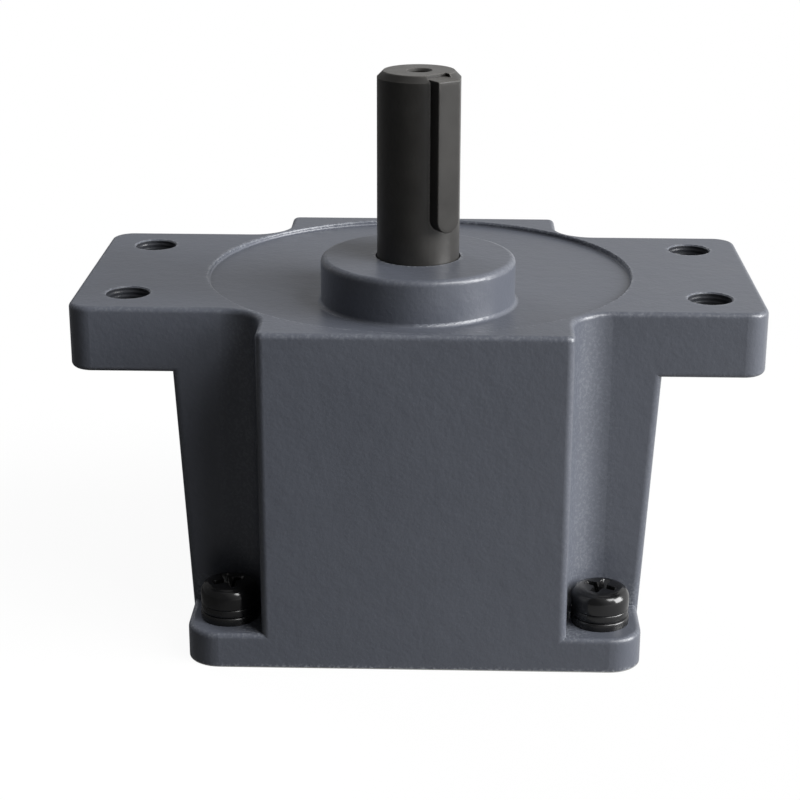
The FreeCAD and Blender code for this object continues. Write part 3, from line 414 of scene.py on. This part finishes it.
# The four wing holes mirror each other; their walls are darkened with painted shade, and the drill leaves
# rings in them
mirrored_spot = add_node(tree, "VectorMath", {0: spot}, operation="ABSOLUTE").outputs[0]
hole_ends = {0: mirrored_spot, 1: WING_HOLE_PLACE}
hole_arm = add_node(tree, "VectorMath", hole_ends, operation="SUBTRACT").outputs[0]
hole_radius = axis_distance(tree, hole_arm)[0]
in_hole = combine(tree, "LESS_THAN", hole_radius, WING_HOLE_REACH)
coated_and_hole_shaded = shade_between(tree, in_hole, painted, HOLE_PAINTED_SHADE)
drill_turn = combine(tree, "MULTIPLY", spot_parts[2], 2 * math.pi / DRILL_FEED)
drill_rings = combine(tree, "MULTIPLY", in_hole, combine(tree, "SINE", drill_turn))
drilled = combine(tree, "MULTIPLY", drill_rings, DRILL_RIDGE)

vary(tree, shader, bare, (coated_and_hole_shaded, BARE_MILLED), grain["Tone"], PAINT_ROUGH)
grit_height = combine(tree, "MULTIPLY", grain["Height"], spread(tree, edge, 0.0, 1.0, FLAT_GRIT, 1.0))
roughen(tree, shader, combine(tree, "ADD", grit_height, drilled), GRIT_BITE, GRIT_RELIEF)
dress(paint_finish, "gear_case")


# Oil seal
# A rubber lip moulded into a pressed steel shell and pulled against the shaft by a garter spring, a long
# close-wound coil of steel wire joined end to end into a ring. It is pressed into the boss from inside.
SHELL_DULL = (0.30, 0.30, 0.30, 1.0)
SHELL_BRIGHT = (0.46, 0.46, 0.45, 1.0)
SHELL_ROUGH = (0.30, 0.44)
SHELL_LUMPS = 180.0
SHELL_RELIEF = 0.00001
GARTER_RADIUS = 9.19
GARTER_LEVEL = 70.53
GARTER_COIL = 0.32
GARTER_WIRE = 0.12
GARTER_TURNS = 150
STEPS_PER_TURN = 10
WIRE_SIDES = 6
MILLIMETRE = 0.001
SAME_POINT = 1e-7
SHARP_TURN = math.radians(38)


def grid_piece(name, grids, finish, close_rows=False):
    """Return one piece of several surfaces, each a grid of points in millimetres joined to its neighbours.

    Columns close on themselves, and so do rows where asked. Points that fall together, as at a pole, are
    merged, the faces are turned outwards, and only edges that turn sharply stay crisp.
    """
    points = []
    faces = []
    count = 0
    for grid in grids:
        rows, columns = grid.shape[:2]
        index = count + np.arange(rows * columns).reshape(rows, columns)
        index = np.concatenate([index, index[:, :1]], axis=1)
        if close_rows:
            index = np.concatenate([index, index[:1]], axis=0)
        corners = [index[:-1, :-1], index[:-1, 1:], index[1:, 1:], index[1:, :-1]]
        faces.append(np.stack(corners, axis=-1).reshape(-1, 4))
        points.append(grid.reshape(-1, 3) * MILLIMETRE)
        count += rows * columns
    mesh = bpy.data.meshes.new(name)
    mesh.from_pydata(np.concatenate(points), [], np.concatenate(faces))
    form = bmesh.new()
    form.from_mesh(mesh)
    bmesh.ops.remove_doubles(form, verts=form.verts, dist=SAME_POINT)
    bmesh.ops.recalc_face_normals(form, faces=form.faces)
    form.to_mesh(mesh)
    form.free()
    mesh.polygons.foreach_set("use_smooth", np.ones(len(mesh.polygons), dtype=bool))
    mesh.set_sharp_from_angle(angle=SHARP_TURN)
    mesh.materials.append(finish)
    piece = bpy.data.objects.new(name, mesh)
    bpy.context.collection.objects.link(piece)
    return piece


def unit(vectors):
    """Return vectors made one long, along the last axis of an array."""
    return vectors / np.linalg.norm(vectors, axis=-1, keepdims=True)


def garter_grid(axis):
    """Return a wire wound round a ring: a circle carried along a coil whose middle goes round the axis."""
    turn = np.linspace(0, 2 * np.pi, GARTER_TURNS * STEPS_PER_TURN, endpoint=False)
    wind = GARTER_TURNS * turn
    outward = np.stack([np.cos(turn), np.sin(turn), 0 * turn], axis=-1)
    upward = np.array([0.0, 0.0, 1.0])
    spoke = np.cos(wind)[:, None] * outward + np.sin(wind)[:, None] * upward
    middle = GARTER_RADIUS * outward + GARTER_COIL * spoke + np.array([axis[0], axis[1], GARTER_LEVEL])
    along = unit(np.roll(middle, -1, axis=0) - np.roll(middle, 1, axis=0))
    side = np.cross(along, spoke)
    around = np.linspace(0, 2 * np.pi, WIRE_SIDES, endpoint=False)[None, :, None]
    rim = np.cos(around) * spoke[:, None] + np.sin(around) * side[:, None]
    return middle[:, None] + GARTER_WIRE * rim


dress(rubber_finish, "seal_lip")
shell_finish, tree, shader = new_finish("pressed_shell_steel", METAL)
bloom = use_group(tree, oxide_bloom, Cloud=SHELL_LUMPS)
vary(tree, shader, bloom["Bloom"], (SHELL_DULL, SHELL_BRIGHT), bloom["Grain"], SHELL_ROUGH)
roughen(tree, shader, bloom["Grain"], OXIDE_BITE, SHELL_RELIEF)
dress(shell_finish, "seal_shell")

output_axis = np.array(shaft_axes["output"]) / MILLIMETRE
garter_spring = grid_piece("garter_spring", [garter_grid(output_axis)], key_stock, close_rows=True)
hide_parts("seal_spring")
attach(garter_spring, "housing")


# Output shaft
# A carbon-steel shaft turned to sixteen millimetres, with a milled groove for its key and a drilled centre
# in its end. It is blackened, so it is nearly black with only a soft shine; its end face is paler, and its
# edges carry a painted glint.
SHAFT_FEED = 0.00016
SHAFT_RIDGE = 0.00001
SHAFT_BITE = 0.3
SHAFT_DARK = (0.0150, 0.0144, 0.0136, 1.0)
SHAFT_PALE = (0.0330, 0.0314, 0.0290, 1.0)
SHAFT_SPECULAR = 0.46
SHAFT_ROUGH = 0.38
SHAFT_END = 0.112
OXIDE_LUMPS = 240.0
OXIDE_SMOOTHER = 0.85
OXIDE_DULLER = 1.15
# Paler end face and painted edge glint on the blackened steel
OXIDE_PALE_END_AND_GLINT = (0.0900, 0.0866, 0.0815, 1.0)
GLINT_EDGE_REACH = 0.0004
PALE_END_STARTS = 0.0002
PALE_END_IS_FULL = 0.00005
PALE_GRAIN = (0.35, 0.65)
PALE_LEAST = 0.4


def blackened_steel(name, axis, end_level, shades, specular, roughness):
    """Return black-oxide steel: clouded black with fine tool lines, a paler end face and painted edge
    glints.
    """
    finish, tree, shader = new_finish(name, NOT_METAL, specular)
    bloom = use_group(tree, oxide_bloom, Cloud=OXIDE_LUMPS)
    marks = use_group(tree, turning_marks, Axis=axis, Feed=SHAFT_FEED)
    edge = use_group(tree, edge_glint, Reach=GLINT_EDGE_REACH)["Edge"]
    level = add_node(tree, "SeparateXYZ", {0: add_node(tree, "TexCoord").outputs["Object"]}).outputs[2]
    # Painted highlight: the outer edges are made paler as glints, and the end face is paler too
    end_face = spread(tree, level, end_level - PALE_END_STARTS, end_level - PALE_END_IS_FULL, 0.0, 1.0)
    end_and_edge = combine(tree, "MAXIMUM", end_face, edge)
    pale_end_and_glint = combine(tree, "MULTIPLY", end_and_edge, spread(tree, bloom["Grain"], *PALE_GRAIN, PALE_LEAST, 1.0))
    film = shade_between(tree, bloom["Bloom"], *shades)
    rough = (roughness * OXIDE_SMOOTHER, roughness * OXIDE_DULLER)
    vary(tree, shader, pale_end_and_glint, (film, OXIDE_PALE_END_AND_GLINT), bloom["Bloom"], rough)
    roughen(tree, shader, marks["Rings"], SHAFT_BITE, SHAFT_RIDGE)
    return finish


shaft_axis = shaft_axes["output"]
shaft_shades = (SHAFT_DARK, SHAFT_PALE)
shaft_look = (shaft_shades, SHAFT_SPECULAR, SHAFT_ROUGH)
dress(blackened_steel("black_oxide_shaft", shaft_axis, SHAFT_END, *shaft_look), "output_shaft")


# Shaft key
# A bar of square drawn steel, round at its lower end and sawn off flat at the top, with its long edges
# broken. It is blackened like the shaft and sits tight in the groove, standing two millimetres proud.
KEY_WIDTH = 4.96
KEY_FLOOR = 5.22
KEY_FACE = 10.2
KEY_LOW = 82.5
KEY_TOP = 111.4
KEY_BREAK = 0.3
KEY_FOOT_BREAK = 0.15
KEY_FACING = math.radians(-55.0)
KEY_DARK = (0.0150, 0.0144, 0.0134, 1.0)
KEY_PALE = (0.0280, 0.0266, 0.0248, 1.0)
KEY_SPECULAR = 0.28
KEY_ROUGH = 0.44
KEY_BREAK_STEPS = 6
KEY_FACE_STEPS = 5
KEY_BEND_STEPS = 33
KEY_CLIMB_STEPS = 13
KEY_TOP_STEPS = 9


def key_grid(axis):
    """Return the key as rows of one outline, from the middle of its foot over its edges to its face.

    The outline is a half circle at the low end, two straight sides and a straight top. Each row draws it in
    by an inset, down to its middle line, and sets it at a distance from the shaft's axis.
    """
    half = KEY_WIDTH / 2
    rows = [(half, KEY_FLOOR), (KEY_FOOT_BREAK, KEY_FLOOR)]
    rows += [(0.0, KEY_FLOOR + KEY_FOOT_BREAK), (0.0, KEY_FACE - KEY_BREAK)]
    arc = np.linspace(0, np.pi / 2, KEY_BREAK_STEPS)[1:]
    rows += list(zip(KEY_BREAK * (1 - np.cos(arc)), KEY_FACE - KEY_BREAK * (1 - np.sin(arc))))
    rows += [(inset, KEY_FACE) for inset in np.linspace(KEY_BREAK, half, KEY_FACE_STEPS)[1:]]
    inset, out = np.array(rows).T[:, :, None]
    reach = half - inset
    bend = np.linspace(np.pi, 2 * np.pi, KEY_BEND_STEPS)
    climb = np.linspace(0, 1, KEY_CLIMB_STEPS)[1:]
    swing = np.cos(np.linspace(0, np.pi, KEY_TOP_STEPS))[1:-1]
    across = np.concatenate([np.cos(bend), climb * 0 + 1, swing, climb * 0 - 1])
    low_level = KEY_LOW + half
    low_part = low_level + reach * np.sin(bend)
    side_part = low_level + climb * (KEY_TOP - inset - low_level)
    top_part = KEY_TOP - inset + 0 * swing
    level = np.concatenate([low_part, side_part, top_part, side_part[:, ::-1]], axis=1)
    outward = np.array([np.cos(KEY_FACING), np.sin(KEY_FACING)])
    sideways = np.array([-np.sin(KEY_FACING), np.cos(KEY_FACING)])
    x = axis[0] + out * outward[0] + reach * across * sideways[0]
    y = axis[1] + out * outward[1] + reach * across * sideways[1]
    return np.stack([x, y, level], axis=-1)


key_end = KEY_TOP * MILLIMETRE
key_look = ((KEY_DARK, KEY_PALE), KEY_SPECULAR, KEY_ROUGH)
key_finish = blackened_steel("black_oxide_key", shaft_axis, key_end, *key_look)
shaft_key = grid_piece("end_key", [key_grid(output_axis)], key_finish)
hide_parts("shaft_key")
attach(shaft_key, "output")


# Flat washers
# Stamped steel rings under the screws, blackened. The punch leaves their upper outer edge rounded and the
# lower one sharp. Each lies on a corner lug of the base.
SCREW_PLACES = [(x, y) for x in (-36.475, 36.475) for y in (-35.975, 35.975)]
WASHER_BORE = 3.3
WASHER_MIDDLE = 4.4
FLAT_RADIUS = 5.75
FLAT_LOW = 7.0
FLAT_TOP = 8.6
FLAT_ROUND = 0.45
FLAT_SHARP = 0.05
BORE_BREAK = 0.1
ROUND_STEPS = 7
WASHER_COLUMNS = 96
BLACK_DEEP = (0.0032, 0.0032, 0.0036, 1.0)
BLACK_PALE = (0.0085, 0.0085, 0.0092, 1.0)
WASHER_ROUGH = (0.20, 0.34)
WASHER_LUMPS = 420.0
WASHER_RELIEF = 0.000012
WASHER_BITE = 0.25


def turned_grid(profile, columns, centre):
    """Turn rows of (radius, height) round an upright axis: x and y go round a circle, z stays."""
    angle = np.linspace(0, 2 * np.pi, columns, endpoint=False)
    radius, height = np.array(profile).T[:, :, None]
    x = centre[0] + radius * np.cos(angle)
    y = centre[1] + radius * np.sin(angle)
    return np.stack([x, y, height + 0 * angle], axis=-1)


def corner_arc(middle, size, start, end, steps):
    """Return rows along an arc about a middle point in a profile, between two angles in degrees."""
    angle = np.radians(np.linspace(start, end, steps))
    return list(zip(middle[0] + size * np.cos(angle), middle[1] + size * np.sin(angle)))


flat_corner = (FLAT_RADIUS - FLAT_ROUND, FLAT_TOP - FLAT_ROUND)
flat_profile = [(WASHER_BORE, FLAT_LOW), (WASHER_MIDDLE, FLAT_LOW), (FLAT_RADIUS - FLAT_SHARP, FLAT_LOW)]
flat_profile += [(FLAT_RADIUS, FLAT_LOW + FLAT_SHARP)]
flat_profile += corner_arc(flat_corner, FLAT_ROUND, 0, 90, ROUND_STEPS)
flat_profile += [(WASHER_MIDDLE, FLAT_TOP), (WASHER_BORE + BORE_BREAK, FLAT_TOP)]
flat_profile += [(WASHER_BORE, FLAT_TOP - BORE_BREAK)]

washer_finish, tree, shader = new_finish("blackened_washer", NOT_METAL)
bloom = use_group(tree, oxide_bloom, Cloud=WASHER_LUMPS)
vary(tree, shader, bloom["Bloom"], (BLACK_DEEP, BLACK_PALE), bloom["Bloom"], WASHER_ROUGH)
roughen(tree, shader, bloom["Grain"], WASHER_BITE, WASHER_RELIEF)

flat_grids = [turned_grid(flat_profile, WASHER_COLUMNS, place) for place in SCREW_PLACES]
flat_washers = grid_piece("stamped_washers", flat_grids, washer_finish, close_rows=True)
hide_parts("flat_washers")
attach(flat_washers, "housing")


# Spring washers
# Square spring-steel wire wound into one open turn and cut on the slant, so that the two ends bite when the
# screw is pulled down flat on them. Blackened like the flat washers below.
SPRING_RADIUS = 5.6
SPRING_LOW = 8.6
SPRING_TOP = 10.2
SPRING_ROUND = 0.3
SPRING_GAP = 0.8
SPRING_SLANT = math.radians(35)
SPRING_ROWS = 97
SPRING_ROUND_STEPS = 5


def spring_grid(centre):
    """Return the wire's rounded square carried round one open turn, with ends cut on a slant.

    At each point of the section the turn starts and ends where the slanted cut meets its radius and height.
    The first and last rows are gathered into the middle of the section, which closes the ends.
    """
    low = SPRING_LOW + SPRING_ROUND
    top = SPRING_TOP - SPRING_ROUND
    inner = WASHER_BORE + SPRING_ROUND
    outer = SPRING_RADIUS - SPRING_ROUND
    section = corner_arc((outer, top), SPRING_ROUND, 90, 0, SPRING_ROUND_STEPS)
    section += corner_arc((outer, low), SPRING_ROUND, 0, -90, SPRING_ROUND_STEPS)
    section += corner_arc((inner, low), SPRING_ROUND, 270, 180, SPRING_ROUND_STEPS)
    section += corner_arc((inner, top), SPRING_ROUND, 180, 90, SPRING_ROUND_STEPS)
    middle = np.array([(WASHER_BORE + SPRING_RADIUS) / 2, (SPRING_LOW + SPRING_TOP) / 2])
    travel = np.concatenate([[0.0, 0.0], np.linspace(0, 1, SPRING_ROWS), [1.0, 1.0]])[:, None]
    fill = np.concatenate([[0.0, 0.5], np.ones(SPRING_ROWS), [0.5, 0.0]])[:, None]
    offset = np.array(section) - middle
    radius = middle[0] + fill * offset[:, 0]
    height = fill * offset[:, 1]
    half_gap = SPRING_GAP / 2 / np.cos(SPRING_SLANT)
    start = np.arcsin((half_gap - np.tan(SPRING_SLANT) * height) / radius)
    end = 2 * np.pi + np.arcsin((-half_gap - np.tan(SPRING_SLANT) * height) / radius)
    angle = start + travel * (end - start)
    x = centre[0] + radius * np.cos(angle)
    y = centre[1] + radius * np.sin(angle)
    return np.stack([x, y, middle[1] + height], axis=-1)


spring_washers = grid_piece("split_washers", [spring_grid(place) for place in SCREW_PLACES], washer_finish)
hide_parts("spring_washers")
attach(spring_washers, "housing")


# Case screws
# Pan-head machine screws of blackened steel: heads cold-headed with a cross recess, threads rolled. One at
# each corner of the base goes through its two washers and the lug into the flange.
HEAD_LOW = 10.2
HEAD_TOP = 14.45
HEAD_RADIUS = 5.65
HEAD_RIM = 2.0
HEAD_CROWN = 0.18
HEAD_BREAK = 0.2
HEAD_SEAT = 4.2
NECK_DROP = 0.05
THREAD_RADIUS = 2.98
THREAD_PITCH = 1.0
THREAD_DEPTH = 0.5
THREAD_END_GAP = 0.3
THREAD_LEAD = 0.8
CREST_SLOPE = 1.25
CREST_FLAT = 0.125
TIP_LEVEL = 0.2
TIP_FACE = 2.2
TIP_RADIUS = 2.5
TIP_RISE = 0.02
TIP_HEIGHT = 0.1
CROSS_HALF_SPAN = 3.3
CROSS_FOOT = 1.2
CROSS_HALF_WIDTH = 0.75
CROSS_DEPTH = 2.5
CROSS_LIP = 0.16
SCREW_TURNS = np.radians([24.0, -18.0, 61.0, 35.0])
SCREW_COLUMNS = 128
THREAD_ROWS = 78
BREAK_ROWS = 3
DOME_ROWS = 14
CROWNED_DOME_ROWS = 6
CROWN_ROWS = 64
SCREW_SPECULAR = 0.45
SCREW_ROUGH = (0.13, 0.21)
SCREW_LUMPS = 380.0
SCREW_RELIEF = 0.00001


def cross_depth(x, y):
    """Return the depth of the recess: four wings whose floors rise outwards, and a cone in the middle.

    A wing's depth falls from full at its foot to nothing at its span, and is cut off at its sides over the
    width of a rounded lip. The deepest of the two crossing pairs and the cone counts.
    """
    depth = CROSS_DEPTH * np.clip((2 * CROSS_HALF_WIDTH - np.hypot(x, y)) / CROSS_HALF_WIDTH, 0, 1)
    for along, beside in ((x, y), (y, x)):
        floor = np.clip((CROSS_HALF_SPAN - np.abs(along)) / (CROSS_HALF_SPAN - CROSS_FOOT), 0, 1)
        side = np.clip((CROSS_HALF_WIDTH - np.abs(beside)) / CROSS_LIP + 0.5, 0, 1)
        depth = np.maximum(depth, CROSS_DEPTH * floor * side)
    return depth


def screw_grid(centre, turn):
    """Return a screw turned from its tip's middle up the thread, under the head and over its crown.

    Along the thread the radius dips as a triangle wave of height less turn, which makes one helix. Over the
    crown the height dips by the cross recess, turned as the screw was left when it was tightened.
    """
    tip = [(0.0, TIP_LEVEL), (TIP_FACE, TIP_LEVEL), (TIP_RADIUS, TIP_LEVEL + TIP_RISE)]
    thread_levels = np.linspace(TIP_LEVEL + TIP_HEIGHT, HEAD_LOW - THREAD_END_GAP, THREAD_ROWS)
    thread = [(THREAD_RADIUS, level) for level in thread_levels]
    dome = HEAD_TOP - HEAD_LOW - HEAD_RIM
    shoulder = HEAD_RADIUS - dome
    rim = HEAD_RADIUS - HEAD_BREAK
    head = [(THREAD_RADIUS, HEAD_LOW - NECK_DROP), (HEAD_SEAT, HEAD_LOW), (rim, HEAD_LOW)]
    head += corner_arc((rim, HEAD_LOW + HEAD_BREAK), HEAD_BREAK, -60, 0, BREAK_ROWS)
    head += corner_arc((shoulder, HEAD_LOW + HEAD_RIM), dome, 0, 90, DOME_ROWS)
    crown = [(radius, HEAD_TOP) for radius in np.linspace(shoulder, 0, CROWN_ROWS)[1:]]
    grid = turned_grid(tip + thread + head + crown, SCREW_COLUMNS, (0.0, 0.0))
    x, y, z = np.moveaxis(grid, -1, 0)
    angle = np.linspace(0, 2 * np.pi, SCREW_COLUMNS, endpoint=False)
    row = np.arange(len(grid))[:, None]
    head_row = len(tip) + len(thread)
    in_thread = (row >= len(tip)) & (row < head_row)
    wave = np.abs(2 * np.mod(z / THREAD_PITCH - angle / (2 * np.pi), 1) - 1)
    lead = np.clip(1 - (z - TIP_LEVEL) / THREAD_LEAD, 0, 1)
    groove = np.clip(CREST_SLOPE * wave - CREST_FLAT, 0, 1)
    dip = np.maximum(THREAD_DEPTH * groove, THREAD_DEPTH * lead)
    shrink = np.where(in_thread, 1 - dip / THREAD_RADIUS, 1.0)
    radius = np.hypot(x, y)
    on_top = row >= head_row + len(head) - CROWNED_DOME_ROWS
    along = x * np.cos(turn) + y * np.sin(turn)
    beside = y * np.cos(turn) - x * np.sin(turn)
    sunk = HEAD_CROWN * (radius / HEAD_RADIUS) ** 2 + cross_depth(along, beside)
    crowned = z - np.where(on_top, sunk, 0.0)
    return np.stack([centre[0] + x * shrink, centre[1] + y * shrink, crowned], axis=-1)


screw_finish, tree, shader = new_finish("blackened_screw", NOT_METAL, SCREW_SPECULAR)
bloom = use_group(tree, oxide_bloom, Cloud=SCREW_LUMPS)
vary(tree, shader, bloom["Bloom"], (BLACK_DEEP, BLACK_PALE), bloom["Bloom"], SCREW_ROUGH)
roughen(tree, shader, bloom["Grain"], OXIDE_BITE, SCREW_RELIEF)

screw_grids = [screw_grid(place, turn) for place, turn in zip(SCREW_PLACES, SCREW_TURNS)]
case_screws = grid_piece("pan_head_screws", screw_grids, screw_finish)
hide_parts("case_screws")
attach(case_screws, "housing")


# Floor and room
# A wide white table that fades into a white background behind, in a room with its windows on the right. The
# object sees a dark room on the near left and a bright one at the back and right. A faint shadow stays.
FLOOR_RADIUS = 4000.0
FLOOR_DROP = 0.02
FLOOR_RINGS = 24
FLOOR_SIDES = 64
FLOOR_ROUGH = 0.8
FLOOR_WHITE = (0.86, 0.86, 0.86, 1.0)
FLOOR_DIM = (0.10, 0.10, 0.10, 1.0)
FLOOR_BOUNCE = 0.15
PURE_WHITE = (1.0, 1.0, 1.0, 1.0)
SHADOW_KEPT = 0.07
SHADOW_NEAR = 0.05
SHADOW_FAR = 0.20
BRIGHT_SIDE = (0.90, 0.17, 0.36)
LIT_FLOOR = (-0.06, 0.10)
LIT_ROOM = (-0.1, 0.95)
ROOM_DIM = 0.16
ROOM_LIGHT = 0.07

floor_finish, tree, shader = new_finish("white_table", NOT_METAL, specular=0.0)
shader["Roughness"].default_value = FLOOR_ROUGH
spot = add_node(tree, "TexCoord").outputs["Object"]
distance = add_node(tree, "VectorMath", {0: spot}, operation="LENGTH").outputs["Value"]
lean = add_node(tree, "VectorMath", {0: spot, 1: BRIGHT_SIDE}, operation="DOT_PRODUCT").outputs["Value"]
rays = add_node(tree, "LightPath").outputs
# The table's colour in bounce and reflections is painted shade: dim away from the lit side, white on it
lit_side = spread(tree, lean, *LIT_FLOOR, 0.0, 1.0)
mirrored = combine(tree, "MAXIMUM", rays["Is Glossy Ray"], rays["Is Transmission Ray"])
watched = combine(tree, "MAXIMUM", rays["Is Camera Ray"], combine(tree, "MULTIPLY", mirrored, lit_side))
bounce = combine(tree, "MULTIPLY", lit_side, FLOOR_BOUNCE)
whiteness = combine(tree, "MAXIMUM", bounce, rays["Is Camera Ray"])
tree.links.new(shade_between(tree, whiteness, FLOOR_DIM, FLOOR_WHITE), shader["Base Color"])
cleared = spread(tree, distance, SHADOW_NEAR, SHADOW_FAR, 1 - SHADOW_KEPT, 1.0)
glow = add_node(tree, "Emission", {"Color": PURE_WHITE, "Strength": 1.0}).outputs[0]
plain = tree.nodes["Principled BSDF"].outputs[0]
lit = add_node(tree, "MixShader", {0: combine(tree, "MULTIPLY", watched, cleared), 1: plain, 2: glow})
tree.links.new(lit.outputs[0], tree.nodes["Material Output"].inputs["Surface"])

floor_reach = FLOOR_RADIUS * np.linspace(0, 1, FLOOR_RINGS)[:, None] ** 2 * np.ones(FLOOR_SIDES)
floor_turn = np.linspace(0, 2 * np.pi, FLOOR_SIDES, endpoint=False)
floor_x = floor_reach * np.cos(floor_turn)
floor_y = floor_reach * np.sin(floor_turn)
floor_grid = np.stack([floor_x, floor_y, 0 * floor_reach - FLOOR_DROP], axis=-1)
floor = grid_piece("table_top", [floor_grid], floor_finish)

room = bpy.data.worlds.new("white_room")
bpy.context.scene.world = room
room.use_nodes = True
tree = room.node_tree
rays = add_node(tree, "LightPath").outputs
gaze = add_node(tree, "TexCoord").outputs["Generated"]
lean = add_node(tree, "VectorMath", {0: gaze, 1: BRIGHT_SIDE}, operation="DOT_PRODUCT").outputs["Value"]
mirrored = combine(tree, "MAXIMUM", rays["Is Glossy Ray"], rays["Is Transmission Ray"])
room_gloss = combine(tree, "MULTIPLY", mirrored, spread(tree, lean, *LIT_ROOM, ROOM_DIM, 1.0))
seen = combine(tree, "MAXIMUM", room_gloss, rays["Is Camera Ray"])
background = tree.nodes["Background"]
background.inputs["Color"].default_value = PURE_WHITE
tree.links.new(combine(tree, "MAXIMUM", seen, ROOM_LIGHT), background.inputs["Strength"])


# Lamps
# A low window on the right and a smaller, higher one on the near right give the shape. A panel at the back
# left lifts the far sides and leaves no glint. Each has its angle to the right of the front, its angle of
# rise, its size in metres and its power.
LAMPS = {
    "near_window": (52.0, 46.0, 1.20, 55.0),
    "low_window": (77.0, 20.0, 1.75, 165.0),
    "back_panel": (215.0, 20.0, 1.75, 80.0),
}
WINDOWS = ("near_window", "low_window")
LAMP_REACH = 3.0
LAMP_AIM = Vector((0.0, 0.0, 0.045))

for lamp_name, (swing, rise, size, watts) in LAMPS.items():
    lamp = bpy.data.lights.new(lamp_name, "AREA")
    lamp.size = size
    lamp.energy = watts
    level_reach = math.cos(math.radians(rise))
    towards = Vector((
        level_reach * math.sin(math.radians(swing)),
        -level_reach * math.cos(math.radians(swing)),
        math.sin(math.radians(rise)),
    ))
    holder = bpy.data.objects.new(lamp_name, lamp)
    holder.location = LAMP_AIM + LAMP_REACH * towards
    holder.rotation_euler = towards.to_track_quat("Z", "Y").to_euler()
    holder.visible_glossy = lamp_name in WINDOWS
    bpy.context.collection.objects.link(holder)


# Camera
# A long lens a little above the object and just right of its middle, looking down on the front.
CAMERA_PLACE = (0.00679, -0.37797, 0.17226)
CAMERA_YAW = math.radians(-1.63)
CAMERA_DIP = math.radians(19.31)
CAMERA_ROLL = math.radians(0.14)
CAMERA_LENS = 85.91
FILM_WIDTH = 36.0

camera_data = bpy.data.cameras.new("camera")
camera_data.lens = CAMERA_LENS
camera_data.sensor_width = FILM_WIDTH
camera = bpy.data.objects.new("camera", camera_data)
ahead = Vector((math.sin(CAMERA_YAW), math.cos(CAMERA_YAW), -math.tan(CAMERA_DIP))).normalized()
right = Vector((math.cos(CAMERA_YAW), -math.sin(CAMERA_YAW), 0.0))
upright = right.cross(ahead)
turned_right = right * math.cos(CAMERA_ROLL) + upright * math.sin(CAMERA_ROLL)
turned_up = upright * math.cos(CAMERA_ROLL) - right * math.sin(CAMERA_ROLL)
camera_turn = Matrix((turned_right, turned_up, -ahead)).transposed().to_4x4()
camera.matrix_world = Matrix.Translation(CAMERA_PLACE) @ camera_turn
bpy.context.collection.objects.link(camera)
bpy.context.scene.camera = camera
